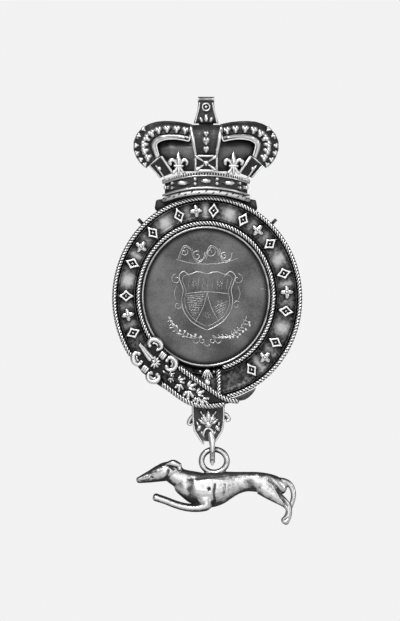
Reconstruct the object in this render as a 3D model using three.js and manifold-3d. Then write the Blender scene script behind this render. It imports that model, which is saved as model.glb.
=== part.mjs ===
// A crowned badge of cast silver: an oval buckled strap round an engraved plate, a half-round crown above
// it and a swinging greyhound below. Sizes are millimetres, +Z is up and the front faces -Y.
// Pieces are placed from the centre of the strap's oval, with y = 0 on the strap's flat back, and the
// whole badge is then moved so that the axis of its suspension eye passes through the origin.

import * as THREE from "three";
import { mergeVertices } from "three/addons/utils/BufferGeometryUtils.js";
import Module from "manifold-3d";

// Clearance between pieces that are seated on each other, and how far soldered details sink into each other.
const gap = 0.3;
const sunk = 0.1;

// Oval strap, measured to the outer edge of its rope border. ropeSeat and floor are heights above its back.
const strap = {
  halfWidth: 25.7,
  halfHeight: 27.7,
  depth: 2.3,
  floor: 1.7,
  ropeSeat: 0.92,
  lip: 0.26,
  lipSlope: 0.08,
  flange: 0.25,
};
const opening = { halfWidth: 17.1, halfHeight: 18.7, shiftX: -0.35, shiftZ: 0.54 };
const rope = { radius: 0.6 };
const ropeEnds = { outerFrom: -125, outerTo: 168, innerFrom: -128, innerTo: 166 };
const endRope = { turn: 170.5, fromShare: 0.2, toShare: 0.7 };
const bezel = { wall: 0.6, depth: 2.1, back: 0.2 };
const medallion = { thickness: 0.85 };
const backPlate = { thickness: 1.0, share: 0.56, bevel: 0.2 };
const clip = { turn: 43, width: 0.9, thickness: 0.7, fromShare: 0.62, reach: 1.7 };
const fold = { fromTurn: 149, toTurn: 167, reach: 1.5, depth: 2.2 };

// Raised motifs that run round the strap in groups of three.
const motif = {
  height: 4.3,
  width: 3.2,
  rise: 0.65,
  pellet: 0.42,
  place: 0.54,
  firstTurn: -114,
  pitch: 12.5,
  groups: 6,
  groupPitch: 47,
};

// Crown, measured from the top of the strap to the top of its arches.
const crown = { shiftX: -0.3, halfWidth: 19.6, height: 20.3, bow: 2.0, capDepth: 3.4, capWall: 0.9 };
const rim = { halfWidth: 12.1, depth: 6.0, height: 1.3, thickness: 1.3, lastTurn: 86 };
const circlet = { halfWidth: 11.4, depth: 5.5, height: 4.4, wall: 1.0, bead: 0.5, lastTurn: 87 };
const arch = {
  halfWidth: 3.0,
  back: 0.3,
  frontMiddle: 6.5,
  frontLobe: 4.0,
  frontFoot: 3.2,
  pearl: 0.92,
  edgePearl: 0.55,
};
const frontArch = {
  halfWidth: 4.4,
  thickness: 1.4,
  front: 8.0,
  rail: 0.55,
  recess: 0.5,
  below: 1.2,
  pearl: 0.95,
};
const frontCross = { halfWidth: 2.95, height: 4.1, back: 5.9, thickness: 1.1, base: 0.5, pearl: 0.75 };
const fleur = { shiftX: 7.4, halfWidth: 2.7, height: 6.0, thickness: 1.2, middle: 4.35 };
const sideCross = { front: 3.1, back: 0.5, pearl: 0.6 };
const bracket = { halfWidth: 14.1, topHalfWidth: 9.5, below: 5.2, above: 2.8, thickness: 0.8 };
const loop = {
  rise: 5.6,
  middle: 3.0,
  thickness: 1.8,
  footHalfWidth: 3.4,
  neckHalfWidth: 2.15,
  foot: 0.75,
  barrelRadius: 0.86,
  barrelLength: 4.4,
  bore: 0.4,
  stem: 2.4,
  rivet: 0.75,
  bevel: 0.25,
};

// Buckle of four C-scrolls, placed by shares of the strap, its tongue, and the strap's tail with its leaf.
const buckle = {
  x: -0.5642 * strap.halfWidth,
  z: -0.6137 * strap.halfHeight,
  plateRadius: 4.3,
  plateThickness: 0.45,
  standoff: 2.75,
  wire: 0.52,
  scroll: 1.95,
};
const tongue = { radius: 0.62, rosette: 1.35 };
const tail = { back: 2.6, thickness: 0.75, ropeStandoff: 3.3, leafRise: 1.0, leafLobe: 2.3 };
const leafDrop = { height: 5.2, halfWidth: 1.5, rise: 0.9 };

// Hanger below the strap, with the hook that carries the greyhound's ring.
const hanger = {
  shiftX: 0.3,
  halfWidth: 4.45,
  drop: 0.3,
  length: 11.8,
  front: 2.0,
  back: 0.2,
  bevel: 0.15,
  relief: 0.8,
  tab: 3.6,
  tabFoot: 2.0,
  tabThickness: 0.8,
  web: 1.2,
  horn: 0.7,
};
const hook = {
  shiftX: 1.4,
  middle: 1.2,
  width: 1.4,
  leg: 0.9,
  saddle: 2.75,
  window: 3.0,
  root: 1.4,
  pivotDrop: 15.0,
};
const ring = { wire: 0.8, holeHalfWidth: 2.65, holeHalfHeight: 2.3, shiftX: 0.5 };
const hound = { length: 43.2, height: 18.2, halfDepth: 2.7, pivotAlong: 0.478, feetDrop: 19.0 };

const pearlSides = 10;
const right = Math.PI / 2;
const degrees = THREE.MathUtils.degToRad;
const upward = new THREE.Vector3(0, 0, 1);

const wasm = await Module();
wasm.setup();

// Solids from three.js geometry, with shared corners merged and faces pointing out.
function toSolid(geometry) {
  const bare = new THREE.BufferGeometry();
  bare.setAttribute("position", geometry.getAttribute("position"));
  bare.setIndex(geometry.getIndex());
  const merged = mergeVertices(bare, 1e-4);
  const place = merged.getAttribute("position");
  const corners = merged.getIndex().array;
  const faces = [];
  let volume = 0;
  for (let i = 0; i < corners.length; i += 3) {
    const [a, b, c] = [corners[i], corners[i + 1], corners[i + 2]];
    if (a === b || b === c || c === a) continue;
    faces.push([a, b, c]);
    const [p, q, r] = [a, b, c].map((corner) => new THREE.Vector3().fromBufferAttribute(place, corner));
    volume += p.dot(q.cross(r));
  }
  const outward = volume > 0 ? faces : faces.map(([a, b, c]) => [a, c, b]);
  const triVerts = new Uint32Array(outward.flat());
  const vertProperties = new Float32Array(place.array);
  return new wasm.Manifold(new wasm.Mesh({ numProp: 3, vertProperties, triVerts }));
}

function toGeometry(solid) {
  const mesh = solid.getMesh();
  const geometry = new THREE.BufferGeometry();
  geometry.setAttribute("position", new THREE.BufferAttribute(mesh.vertProperties, 3));
  geometry.setIndex(new THREE.BufferAttribute(mesh.triVerts, 1));
  geometry.computeVertexNormals();
  return geometry;
}

function unite(solids) {
  return solids.reduce((whole, solid) => whole.add(solid));
}

function cut(solid, tools) {
  return tools.reduce((rest, tool) => rest.subtract(tool), solid);
}

// A flat fan of triangles that closes one end of a loft, for outlines of any shape.
function endFaces(ring, first) {
  const normal = new THREE.Vector3();
  ring.forEach((point, i) => normal.add(point.clone().cross(ring[(i + 1) % ring.length])));
  normal.normalize();
  const along = ring[1].clone().sub(ring[0]).normalize();
  const side = normal.clone().cross(along);
  const flat = ring.map((point) => new THREE.Vector2(point.dot(along), point.dot(side)));
  return THREE.ShapeUtils.triangulateShape(flat, []).map((face) => face.map((corner) => corner + first));
}

// A skin through rings of equal point count, either closed on itself or with flat ends.
function loft(rings, joined = false) {
  const size = rings[0].length;
  const index = [];
  const spans = joined ? rings.length : rings.length - 1;
  for (let i = 0; i < spans; i += 1) {
    const near = i * size;
    const far = ((i + 1) % rings.length) * size;
    for (let j = 0; j < size; j += 1) {
      const next = (j + 1) % size;
      index.push(near + j, near + next, far + next, near + j, far + next, far + j);
    }
  }
  if (!joined) {
    const last = (rings.length - 1) * size;
    endFaces(rings[0], 0).forEach(([a, b, c]) => index.push(a, c, b));
    endFaces(rings[rings.length - 1], last).forEach(([a, b, c]) => index.push(a, b, c));
  }
  const geometry = new THREE.BufferGeometry();
  const positions = rings.flat().flatMap((point) => point.toArray());
  geometry.setAttribute("position", new THREE.Float32BufferAttribute(positions, 3));
  geometry.setIndex(index);
  return toSolid(geometry);
}

// Rows of numbers turned into more rows on a smooth curve through them, column by column.
function smooth(rows, steps) {
  const last = rows.length - 1;
  return Array.from({ length: steps + 1 }, (_, step) => {
    const place = (step / steps) * last;
    const k = Math.min(Math.floor(place), last - 1);
    const t = place - k;
    const near = [k - 1, k, k + 1, k + 2].map((row) => rows[THREE.MathUtils.clamp(row, 0, last)]);
    const columns = [...near[1].keys()];
    return columns.map((column) => {
      const [a, b, c, d] = near.map((row) => row[column]);
      const slopes = [(c - a) / 2, (d - b) / 2];
      const cubic = 2 * (b - c) + slopes[0] + slopes[1];
      const square = 3 * (c - b) - 2 * slopes[0] - slopes[1];
      return b + t * (slopes[0] + t * (square + t * cubic));
    });
  });
}

// A round or oval bar along a path that stays mostly in the badge's own plane. A station has its place,
// its half-size across the path (up) and its half-size from front to back (deep).
function bar(stations, sides, joined = false) {
  const count = stations.length;
  const rings = stations.map(({ at, up, deep }, i) => {
    const before = stations[joined ? (i + count - 1) % count : Math.max(i - 1, 0)].at;
    const after = stations[joined ? (i + 1) % count : Math.min(i + 1, count - 1)].at;
    const along = after.clone().sub(before).setY(0).normalize();
    const across = new THREE.Vector3(along.z, 0, -along.x);
    return Array.from({ length: sides }, (_, side) => {
      const angle = ((side + 0.5) / sides) * 2 * Math.PI;
      const point = at.clone().addScaledVector(across, up * Math.cos(angle));
      point.y += deep * Math.sin(angle);
      return point;
    });
  });
  return loft(rings, joined);
}

// The same bar with a small ring added beyond each end, so that its tips are rounded.
function limb(stations, sides) {
  const tip = (end, inner) => {
    const along = end.at.clone().sub(inner.at).normalize();
    const at = end.at.clone().addScaledVector(along, end.up * 0.6);
    return { at, up: end.up * 0.5, deep: end.deep * 0.5 };
  };
  const last = stations.length - 1;
  const ends = [tip(stations[0], stations[1]), tip(stations[last], stations[last - 1])];
  return bar([ends[0], ...stations, ends[1]], sides);
}

// A flat plate from an outline of [x, z] points, standing from y = back forward by its thickness.
function plate(outline, back, thickness, bevel = 0, holes = []) {
  const shape = new THREE.Shape(outline.map(([x, z]) => new THREE.Vector2(x, z)));
  shape.holes = holes.map((hole) => new THREE.Path(hole.map(([x, z]) => new THREE.Vector2(x, z))));
  const geometry = new THREE.ExtrudeGeometry(shape, {
    depth: thickness - 2 * bevel,
    bevelEnabled: bevel > 0,
    bevelThickness: bevel,
    bevelSize: bevel,
    bevelOffset: -bevel,
    bevelSegments: 1,
  });
  geometry.rotateX(right);
  geometry.translate(0, back - bevel, 0);
  return toSolid(geometry);
}

function blob(at, radii, tilt = 0, sides = 8) {
  const geometry = new THREE.SphereGeometry(1, sides, Math.ceil(sides * 0.3));
  geometry.scale(...radii);
  geometry.rotateY(tilt);
  geometry.translate(at.x, at.y, at.z);
  return toSolid(geometry);
}

function pearl(at, radius) {
  return blob(at, [radius, radius, radius], 0, pearlSides);
}

// A low cast stone that narrows to its flat top. Four sides give a lozenge, or a square when turned.
function stud(at, halfWidth, halfHeight, rise, sides, planTurn = 0, squared = false) {
  const geometry = new THREE.CylinderGeometry(0.62, 1, 1, sides, 1);
  if (squared) geometry.rotateY(right / 2);
  geometry.scale(halfWidth, rise, halfHeight);
  geometry.rotateX(Math.PI);
  geometry.rotateZ(planTurn);
  geometry.translate(at.x, at.y, at.z);
  return toSolid(geometry);
}

// Places on the strap. A turn runs clockwise from the top, as seen from the front.
function outerEdge(turn, y) {
  return new THREE.Vector3(strap.halfWidth * Math.sin(turn), y, strap.halfHeight * Math.cos(turn));
}

function openingEdge(turn, y) {
  const x = opening.shiftX + opening.halfWidth * Math.sin(turn);
  return new THREE.Vector3(x, y, opening.shiftZ + opening.halfHeight * Math.cos(turn));
}

function onStrap(turn, share, y) {
  return openingEdge(turn, y).lerp(outerEdge(turn, y), share);
}

function fromOuter(turn, inset, y) {
  const inward = openingEdge(turn, y).sub(outerEdge(turn, y)).setLength(inset);
  return outerEdge(turn, y).add(inward);
}

function fromOpening(turn, offset, y) {
  const outward = outerEdge(turn, y).sub(openingEdge(turn, y)).setLength(offset);
  return openingEdge(turn, y).add(outward);
}

function aroundOval(steps, ringAt) {
  return Array.from({ length: steps }, (_, step) => ringAt((step / steps) * 2 * Math.PI));
}

function asOutline(points) {
  return points.map((point) => [point.x, point.z]);
}

// Where the ropes and the strap's raised lips lie, worked out from the rope and its clearance.
const ropeCentre = strap.ropeSeat + gap + rope.radius;
const innerRopeOffset = bezel.wall / 2 + gap + rope.radius;
const outerLip = 2 * rope.radius + gap;
const innerLip = innerRopeOffset + rope.radius + gap;

function strapRing() {
  const outerFloor = outerLip + strap.lip + strap.lipSlope;
  const innerFloor = innerLip + strap.lip + strap.lipSlope;
  return loft(aroundOval(48, (turn) => [
    fromOpening(turn, bezel.wall / 2 + gap, 0),
    fromOuter(turn, strap.flange, 0),
    fromOuter(turn, strap.flange, -strap.ropeSeat),
    fromOuter(turn, outerLip, -strap.ropeSeat),
    fromOuter(turn, outerLip, -strap.depth),
    fromOuter(turn, outerLip + strap.lip, -strap.depth),
    fromOuter(turn, outerFloor, -strap.floor),
    fromOpening(turn, innerFloor, -strap.floor),
    fromOpening(turn, innerLip + strap.lip, -strap.depth),
    fromOpening(turn, innerLip, -strap.depth),
    fromOpening(turn, innerLip, -strap.ropeSeat),
    fromOpening(turn, bezel.wall / 2 + gap, -strap.ropeSeat),
  ]), true);
}

function lozenge(halfWidth, halfHeight) {
  return [[halfWidth, 0], [0, halfHeight], [-halfWidth, 0], [0, -halfHeight]];
}

function lozengeMotif() {
  const root = strap.floor - sunk;
  const [halfWidth, halfHeight] = [motif.width / 2, motif.height / 2];
  const hole = lozenge(halfWidth * 0.55, halfHeight * 0.55);
  const frame = plate(lozenge(halfWidth, halfHeight), -root, motif.rise + sunk, 0, [hole]);
  const middle = new THREE.Vector3(0, -root - motif.rise / 2, 0);
  return unite([frame, stud(middle, motif.pellet, motif.pellet, motif.rise, 6)]);
}

function rosetteMotif() {
  const root = strap.floor - sunk;
  const petals = aroundOval(16, (turn) => {
    const reach = (motif.height / 2) * (0.66 + 0.2 * Math.cos(4 * turn));
    return [reach * Math.sin(turn), reach * Math.cos(turn)];
  });
  const flower = plate(petals, -root, motif.rise + sunk);
  const middle = new THREE.Vector3(0, -root - motif.rise, 0);
  return unite([flower, stud(middle, motif.pellet, motif.pellet, motif.rise, 6)]);
}

function motifsRoundStrap() {
  const motifs = [];
  for (let group = 0; group < motif.groups; group += 1) {
    for (let place = 0; place < 3; place += 1) {
      const turn = degrees(motif.firstTurn + group * motif.groupPitch + place * motif.pitch);
      const shape = place === 1 ? rosetteMotif() : lozengeMotif();
      const centre = onStrap(turn, motif.place, 0);
      const placed = new THREE.Matrix4().makeRotationY(turn).setPosition(centre);
      motifs.push(shape.transform(placed.elements));
    }
  }
  return motifs;
}

// A leaf with a fan of slim lobes over a rounded pod, hanging from the opening at the foot of the strap.
function leafDropRelief() {
  const top = openingEdge(Math.PI, 0).z - bezel.wall / 2 - gap - sunk;
  const y = -strap.floor + sunk;
  const lobes = [[-0.62, 0.3, 0.5], [0.62, 0.3, -0.5], [0, 0.34, 0]].map(([side, drop, tilt]) => {
    const at = new THREE.Vector3(side * leafDrop.halfWidth, y, top - drop * leafDrop.height);
    return blob(at, [leafDrop.halfWidth * 0.3, leafDrop.rise * 0.8, leafDrop.height * 0.3], tilt, 6);
  });
  const pod = new THREE.Vector3(0, y, top - 0.76 * leafDrop.height);
  return unite([...lobes, blob(pod, [leafDrop.halfWidth * 0.72, leafDrop.rise, leafDrop.height * 0.24])]);
}

function beltFrame() {
  const groove = endRopeBar(rope.radius + gap);
  return cut(unite([strapRing(), leafDropRelief(), ...motifsRoundStrap()]), [groove]);
}

// Rope borders. Their twist is left smooth here.
function ropeArc(fromTurn, toTurn, steps, placeAt) {
  const stations = Array.from({ length: steps + 1 }, (_, step) => {
    const turn = degrees(THREE.MathUtils.lerp(fromTurn, toTurn, step / steps));
    return { at: placeAt(turn), up: rope.radius, deep: rope.radius };
  });
  return bar(stations, 8);
}

function outerRope() {
  const placeAt = (turn) => fromOuter(turn, rope.radius, -ropeCentre);
  return ropeArc(ropeEnds.outerFrom, ropeEnds.outerTo, 40, placeAt);
}

function innerRope() {
  const placeAt = (turn) => fromOpening(turn, innerRopeOffset, -ropeCentre);
  return ropeArc(ropeEnds.innerFrom, ropeEnds.innerTo, 32, placeAt);
}

function endRopeBar(radius) {
  const turn = degrees(endRope.turn);
  const y = -(strap.floor + gap + rope.radius);
  const ends = [endRope.fromShare, endRope.toShare].map((share) => onStrap(turn, share, y));
  return bar(ends.map((at) => ({ at, up: radius, deep: radius })), 8);
}

function bezelCollar() {
  const half = bezel.wall / 2;
  const front = bezel.back + bezel.depth;
  return loft(aroundOval(48, (turn) => [
    fromOpening(turn, -half, -bezel.back),
    fromOpening(turn, half, -bezel.back),
    fromOpening(turn, half, -front + half),
    fromOpening(turn, 0, -front),
    fromOpening(turn, -half, -front + half),
  ]), true);
}

function medallionPlate() {
  const edge = aroundOval(48, (turn) => fromOpening(turn, -(bezel.wall / 2 + gap), 0));
  return plate(asOutline(edge), 0, medallion.thickness);
}

function backCover(clearance) {
  const edge = aroundOval(48, (turn) => {
    const point = onStrap(turn, backPlate.share, 0);
    return point.add(outerEdge(turn, 0).sub(openingEdge(turn, 0)).setLength(clearance));
  });
  const bevel = clearance > 0 ? 0 : backPlate.bevel;
  return plate(asOutline(edge), gap + backPlate.thickness, backPlate.thickness + clearance, bevel);
}

function backClip(side) {
  const turn = side * degrees(clip.turn);
  const y = gap + clip.thickness / 2;
  const ends = [onStrap(turn, clip.fromShare, y), fromOuter(turn, -clip.reach, y)];
  const across = new THREE.Vector3(Math.cos(turn), 0, -Math.sin(turn)).multiplyScalar(clip.width / 2);
  const corners = [
    ends[0].clone().add(across),
    ends[1].clone().add(across),
    ends[1].clone().sub(across),
    ends[0].clone().sub(across),
  ];
  return plate(asOutline(corners), gap + clip.thickness, clip.thickness);
}

function strapFold() {
  const edge = (bulge) => Array.from({ length: 9 }, (_, step) => {
    const turn = degrees(THREE.MathUtils.lerp(fold.fromTurn, fold.toTurn, step / 8));
    return fromOuter(turn, -(gap + bulge * Math.sin((step / 8) * Math.PI)), 0);
  });
  const outline = [...edge(fold.reach), ...edge(0).reverse()];
  return plate(asOutline(outline), 0, fold.depth);
}

// Crown. A plan turn runs from the front towards the wearer's left or right round the half-oval plan.
const crownBase = strap.halfHeight;
const circletBase = 2 * gap + rim.height;
const crestBase = circletBase + circlet.height + gap;

function onCrown(planTurn, halfWidth, depth, rise) {
  const x = crown.shiftX + halfWidth * Math.sin(planTurn);
  const z = crownBase + rise - crown.bow * Math.sin(planTurn) ** 2;
  return new THREE.Vector3(x, -depth * Math.cos(planTurn), z);
}

// A band round the crown's plan from a profile of [outward, rise] points.
function crownBand(size, profile, steps) {
  const rings = Array.from({ length: steps + 1 }, (_, step) => {
    const turn = degrees(THREE.MathUtils.lerp(-size.lastTurn, size.lastTurn, step / steps));
    return profile.map(([out, rise]) => onCrown(turn, size.halfWidth + out, size.depth + out, rise));
  });
  return loft(rings);
}

function ermineRim() {
  const half = { out: rim.thickness / 2, rise: rim.height / 2 };
  const profile = Array.from({ length: 8 }, (_, side) => {
    const angle = ((side + 0.5) / 8) * 2 * Math.PI;
    return [-half.out + half.out * Math.cos(angle), gap + half.rise + half.rise * Math.sin(angle)];
  });
  return crownBand(rim, profile, 20);
}

// Section of the circlet: outward as a share of its wall and rise as a share of its height.
const circletProfile = [
  [-1, 0],
  [0.2, 0],
  [0.2, 0.1],
  [-0.15, 0.16],
  [-0.15, 0.78],
  [0.25, 0.84],
  [0.45, 0.92],
  [0.25, 1],
  [-1, 1],
];

function crownCirclet() {
  const profile = circletProfile.map(([out, rise]) => {
    return [out * circlet.wall, circletBase + rise * circlet.height];
  });
  return unite([crownBand(circlet, profile, 20), ...circletJewels()]);
}

// Cast stones to each side of the circlet's middle. Columns: plan turn in degrees, half-width and half-height
// as shares of the circlet's height, rise as a share of its wall, and whether the stone is square.
const stoneRows = [
  [32, 0.455, 0.227, 0.9, false],
  [68, 0.341, 0.205, 0.8, true],
];
const beadTurns = [14.5, 51];

function circletJewels() {
  const middle = circletBase + 0.47 * circlet.height;
  const onBand = (turn, rise) => onCrown(turn, circlet.halfWidth - sunk, circlet.depth - sunk, rise);
  const stone = (turn, width, tall, rise, squared) => {
    const size = [width * circlet.height, tall * circlet.height, rise * circlet.wall];
    return stud(onBand(turn, middle), ...size, 4, turn, squared);
  };
  const jewels = [stone(0, 0.386, 0.216, 1, true)];
  for (const side of [-1, 1]) {
    for (const beadTurn of beadTurns) {
      const turn = side * degrees(beadTurn);
      jewels.push(pearl(onBand(turn, middle + 1.3 * circlet.bead), circlet.bead));
      jewels.push(pearl(onBand(turn, middle - 1.3 * circlet.bead), circlet.bead));
    }
    for (const [turn, ...shape] of stoneRows) {
      jewels.push(stone(side * degrees(turn), ...shape));
    }
  }
  return jewels;
}

// Side arches. Columns: distance from the crown's middle and rise, as shares of the crown's half-width and
// height, then the arch's half-width as a share, and its front's move to the lobe and on to the foot.
const archRows = [
  [0.215, 0.847, 0.75, 0, 0],
  [0.357, 0.877, 0.75, 0.25, 0],
  [0.525, 0.887, 0.78, 0.6, 0],
  [0.673, 0.867, 0.85, 0.85, 0],
  [0.786, 0.808, 0.93, 1, 0],
  [0.847, 0.714, 1, 1, 0.1],
  [0.842, 0.611, 1, 1, 0.4],
  [0.786, 0.502, 0.9, 1, 0.8],
  [0.74, 0.45, 0.75, 1, 1],
];

// Section of a side arch, from inner edge (-1) to outer edge (1) and from back (0) to front (1).
const archProfile = [
  [-1, 0],
  [-1, 0.9],
  [-0.8, 1],
  [-0.6, 0.96],
  [-0.5, 0.8],
  [0.35, 0.74],
  [0.8, 0.5],
  [1, 0.2],
  [1, 0],
];

function archFront(toLobe, toFoot) {
  const front = THREE.MathUtils.lerp(arch.frontMiddle, arch.frontLobe, toLobe);
  return THREE.MathUtils.lerp(front, arch.frontFoot, toFoot);
}

function archStations(steps) {
  const rows = smooth(archRows, steps);
  return rows.map(([across, rise, width, toLobe, toFoot], i) => {
    const [before, after] = [rows[Math.max(i - 1, 0)], rows[Math.min(i + 1, steps)]];
    const run = (after[0] - before[0]) * crown.halfWidth;
    const along = new THREE.Vector2(run, (after[1] - before[1]) * crown.height).normalize();
    return {
      x: across * crown.halfWidth,
      z: crownBase + rise * crown.height,
      outward: new THREE.Vector2(-along.y, along.x),
      half: width * arch.halfWidth,
      front: archFront(toLobe, toFoot),
    };
  });
}

function archBody(side, clearance) {
  const rings = archStations(14).map(({ x, z, outward, half, front }) => {
    return archProfile.map(([across, forward]) => {
      const reach = across * half + Math.sign(across) * clearance;
      const y = -THREE.MathUtils.lerp(arch.back - clearance, front + clearance, forward);
      return new THREE.Vector3(crown.shiftX + side * (x + outward.x * reach), y, z + outward.y * reach);
    });
  });
  if (clearance > 0) rings.unshift(rings[0].map((point) => point.clone().setX(point.x - side * clearance)));
  return loft(rings);
}

function sideArch(side) {
  const stations = archStations(40);
  const onArch = (place, across, forward) => {
    const { x, z, outward, half, front } = stations[Math.round(place * 40)];
    const reach = across * half;
    const at = new THREE.Vector3(crown.shiftX + side * (x + outward.x * reach), -front * forward, z);
    return at.setZ(z + outward.y * reach);
  };
  const mainPearls = Array.from({ length: 9 }, (_, i) => {
    return pearl(onArch(0.06 + 0.1 * i, 0.02, 0.8), arch.pearl);
  });
  const edgePearls = Array.from({ length: 4 }, (_, i) => {
    return pearl(onArch(0.6 + 0.085 * i, 0.72, 0.62), arch.edgePearl);
  });
  return unite([archBody(side, 0), ...mainPearls, ...edgePearls]);
}

// Front arch. Columns: rise, half-width, and how far forward the front stands, all as shares.
const frontArchRows = [
  [0, 0.68, 0.84],
  [0.25, 0.74, 0.96],
  [0.55, 0.84, 1],
  [0.8, 0.95, 0.93],
  [0.95, 1, 0.78],
  [1, 0.84, 0.62],
];

// Pearls on the front arch. Columns: rise, size, and how far forward its face stands there, as shares.
const frontPearlRows = [
  [0.68, 0.9, 0.95],
  [0.45, 1.15, 1],
  [0.18, 0.95, 0.93],
];

function frontArchBody() {
  const bottom = crestBase + frontCross.height + gap;
  const tall = crown.height - frontArch.below - bottom;
  const rings = smooth(frontArchRows, 10).map(([rise, width, forward]) => {
    const half = width * frontArch.halfWidth;
    const inner = half - frontArch.rail;
    const front = forward * frontArch.front;
    const floor = front - frontArch.recess;
    const back = front - frontArch.thickness;
    const z = crownBase + bottom + rise * tall;
    const rightHalf = [[inner, floor], [inner, front], [half, front], [half, back]];
    const leftHalf = rightHalf.map(([x, forwardBy]) => [-x, forwardBy]).reverse();
    const section = [...leftHalf, ...rightHalf];
    return section.map(([x, forwardBy]) => new THREE.Vector3(crown.shiftX + x, -forwardBy, z));
  });
  const pearls = frontPearlRows.map(([rise, size, forward]) => {
    const y = 0.7 * frontArch.recess - forward * frontArch.front;
    const at = new THREE.Vector3(crown.shiftX, y, crownBase + bottom + rise * tall);
    return pearl(at, size * frontArch.pearl);
  });
  return unite([loft(rings), ...pearls]);
}

// Cap of the crown: a dished wall behind the arches, open at the back. Columns: rise, half-width and depth.
const capRows = [
  [0.325, 0.52, 0.8],
  [0.4, 0.6, 0.92],
  [0.48, 0.68, 1],
  [0.56, 0.74, 1],
  [0.64, 0.76, 0.95],
  [0.71, 0.74, 0.8],
  [0.78, 0.66, 0.62],
];

function crownCap() {
  const turns = Array.from({ length: 13 }, (_, i) => degrees(-84 + 14 * i));
  const rings = capRows.map(([rise, width, depth]) => {
    const height = Math.max(rise * crown.height, crestBase);
    const edge = (inset) => turns.map((turn) => {
      const [halfWidth, deep] = [width * crown.halfWidth - inset, depth * crown.capDepth - inset];
      const x = crown.shiftX + halfWidth * Math.sin(turn);
      return new THREE.Vector3(x, -arch.back - deep * Math.cos(turn), crownBase + height);
    });
    return [...edge(0), ...edge(crown.capWall).reverse()];
  });
  const covers = [-1, 1].flatMap((side) => [archBody(side, gap), sideCrossPlate(side, gap)]);
  return cut(loft(rings), covers);
}

function frontCrossPiece() {
  const [w, h] = [frontCross.halfWidth, frontCross.height / 2];
  const centre = new THREE.Vector3(crown.shiftX, -frontCross.back, crownBase + crestBase + h);
  const quarter = [[0.78, 1], [0.28, 0.3], [1, 0.78]];
  const crossOutline = [[1, 1], [1, -1], [-1, -1], [-1, 1]].flatMap(([sx, sz]) => {
    const corner = quarter.map(([x, z]) => [centre.x + sx * x * w, centre.z + sz * z * h]);
    return sx * sz > 0 ? corner : corner.reverse();
  });
  const corners = [[-w, -h], [w, -h], [w, h], [-w, h]].map(([x, z]) => [centre.x + x, centre.z + z]);
  const base = plate(corners, -frontCross.back, frontCross.base);
  const root = frontCross.base - sunk;
  const cross = plate(crossOutline, -frontCross.back - root, frontCross.thickness - root);
  const at = centre.clone().setY(-frontCross.back - frontCross.thickness);
  return unite([base, cross, pearl(at, frontCross.pearl)]);
}

// A three-petalled flower on the circlet. Columns: place across and up, half-width and half-height as shares
// of the flower's half-width and height, and tilt.
const petalRows = [
  [0, 0.67, 0.3, 0.33, 0],
  [-0.55, 0.54, 0.22, 0.22, -0.9],
  [0.55, 0.54, 0.22, 0.22, 0.9],
  [0, 0.37, 0.5, 0.1, 0],
  [-0.42, 0.18, 0.17, 0.2, 0.6],
  [0.42, 0.18, 0.17, 0.2, -0.6],
  [0, 0.2, 0.19, 0.2, 0],
];

function fleurPiece(side) {
  const z = crownBase + crestBase - crown.bow * (fleur.shiftX / circlet.halfWidth) ** 2;
  const solids = petalRows.map(([across, rise, width, tall, tilt]) => {
    const x = crown.shiftX + side * (fleur.shiftX + across * fleur.halfWidth);
    const at = new THREE.Vector3(x, -fleur.middle, z + rise * fleur.height);
    return blob(at, [width * fleur.halfWidth, fleur.thickness / 2, tall * fleur.height], side * tilt);
  });
  return unite(solids);
}

// Outline of the cross at each end of the crown, seen nearly edge-on, in shares of the crown's size.
function sideCrossPlate(side, clearance) {
  const outline = [[0.62, 0.525], [0.463, 0.305], [0.64, 0.24], [0.72, 0.33], [0.785, 0.4]];
  const middle = [0.65, 0.36];
  const points = outline.map(([across, rise]) => {
    const x = across * crown.halfWidth + clearance * Math.sign(across - middle[0]);
    const z = rise * crown.height + clearance * Math.sign(rise - middle[1]);
    return [crown.shiftX + side * x, crownBase + z];
  });
  return plate(points, clearance - sideCross.back, sideCross.front - sideCross.back + 2 * clearance);
}

function sideCrossPiece(side) {
  const x = crown.shiftX + side * 0.645 * crown.halfWidth;
  const middle = new THREE.Vector3(x, -sideCross.front, crownBase + 0.36 * crown.height);
  const cross = unite([sideCrossPlate(side, 0), pearl(middle, sideCross.pearl)]);
  return cut(cross, [archBody(side, gap)]);
}

// Plate behind the crown and the strap that carries the crown.
function crownBracket() {
  const foot = crownBase - bracket.below;
  const half = [
    [bracket.halfWidth * 0.9, foot],
    [bracket.halfWidth, foot + 0.35 * bracket.below],
    [bracket.halfWidth * 0.97, foot + 0.85 * bracket.below],
    [bracket.topHalfWidth, foot + 0.92 * bracket.below],
    [bracket.topHalfWidth, crownBase + bracket.above],
  ];
  const mirrored = half.map(([x, z]) => [-x, z]).reverse();
  const outline = [...half, ...mirrored].map(([x, z]) => [crown.shiftX + x, z]);
  return cut(plate(outline, gap + bracket.thickness, bracket.thickness), [backCover(gap)]);
}

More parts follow.
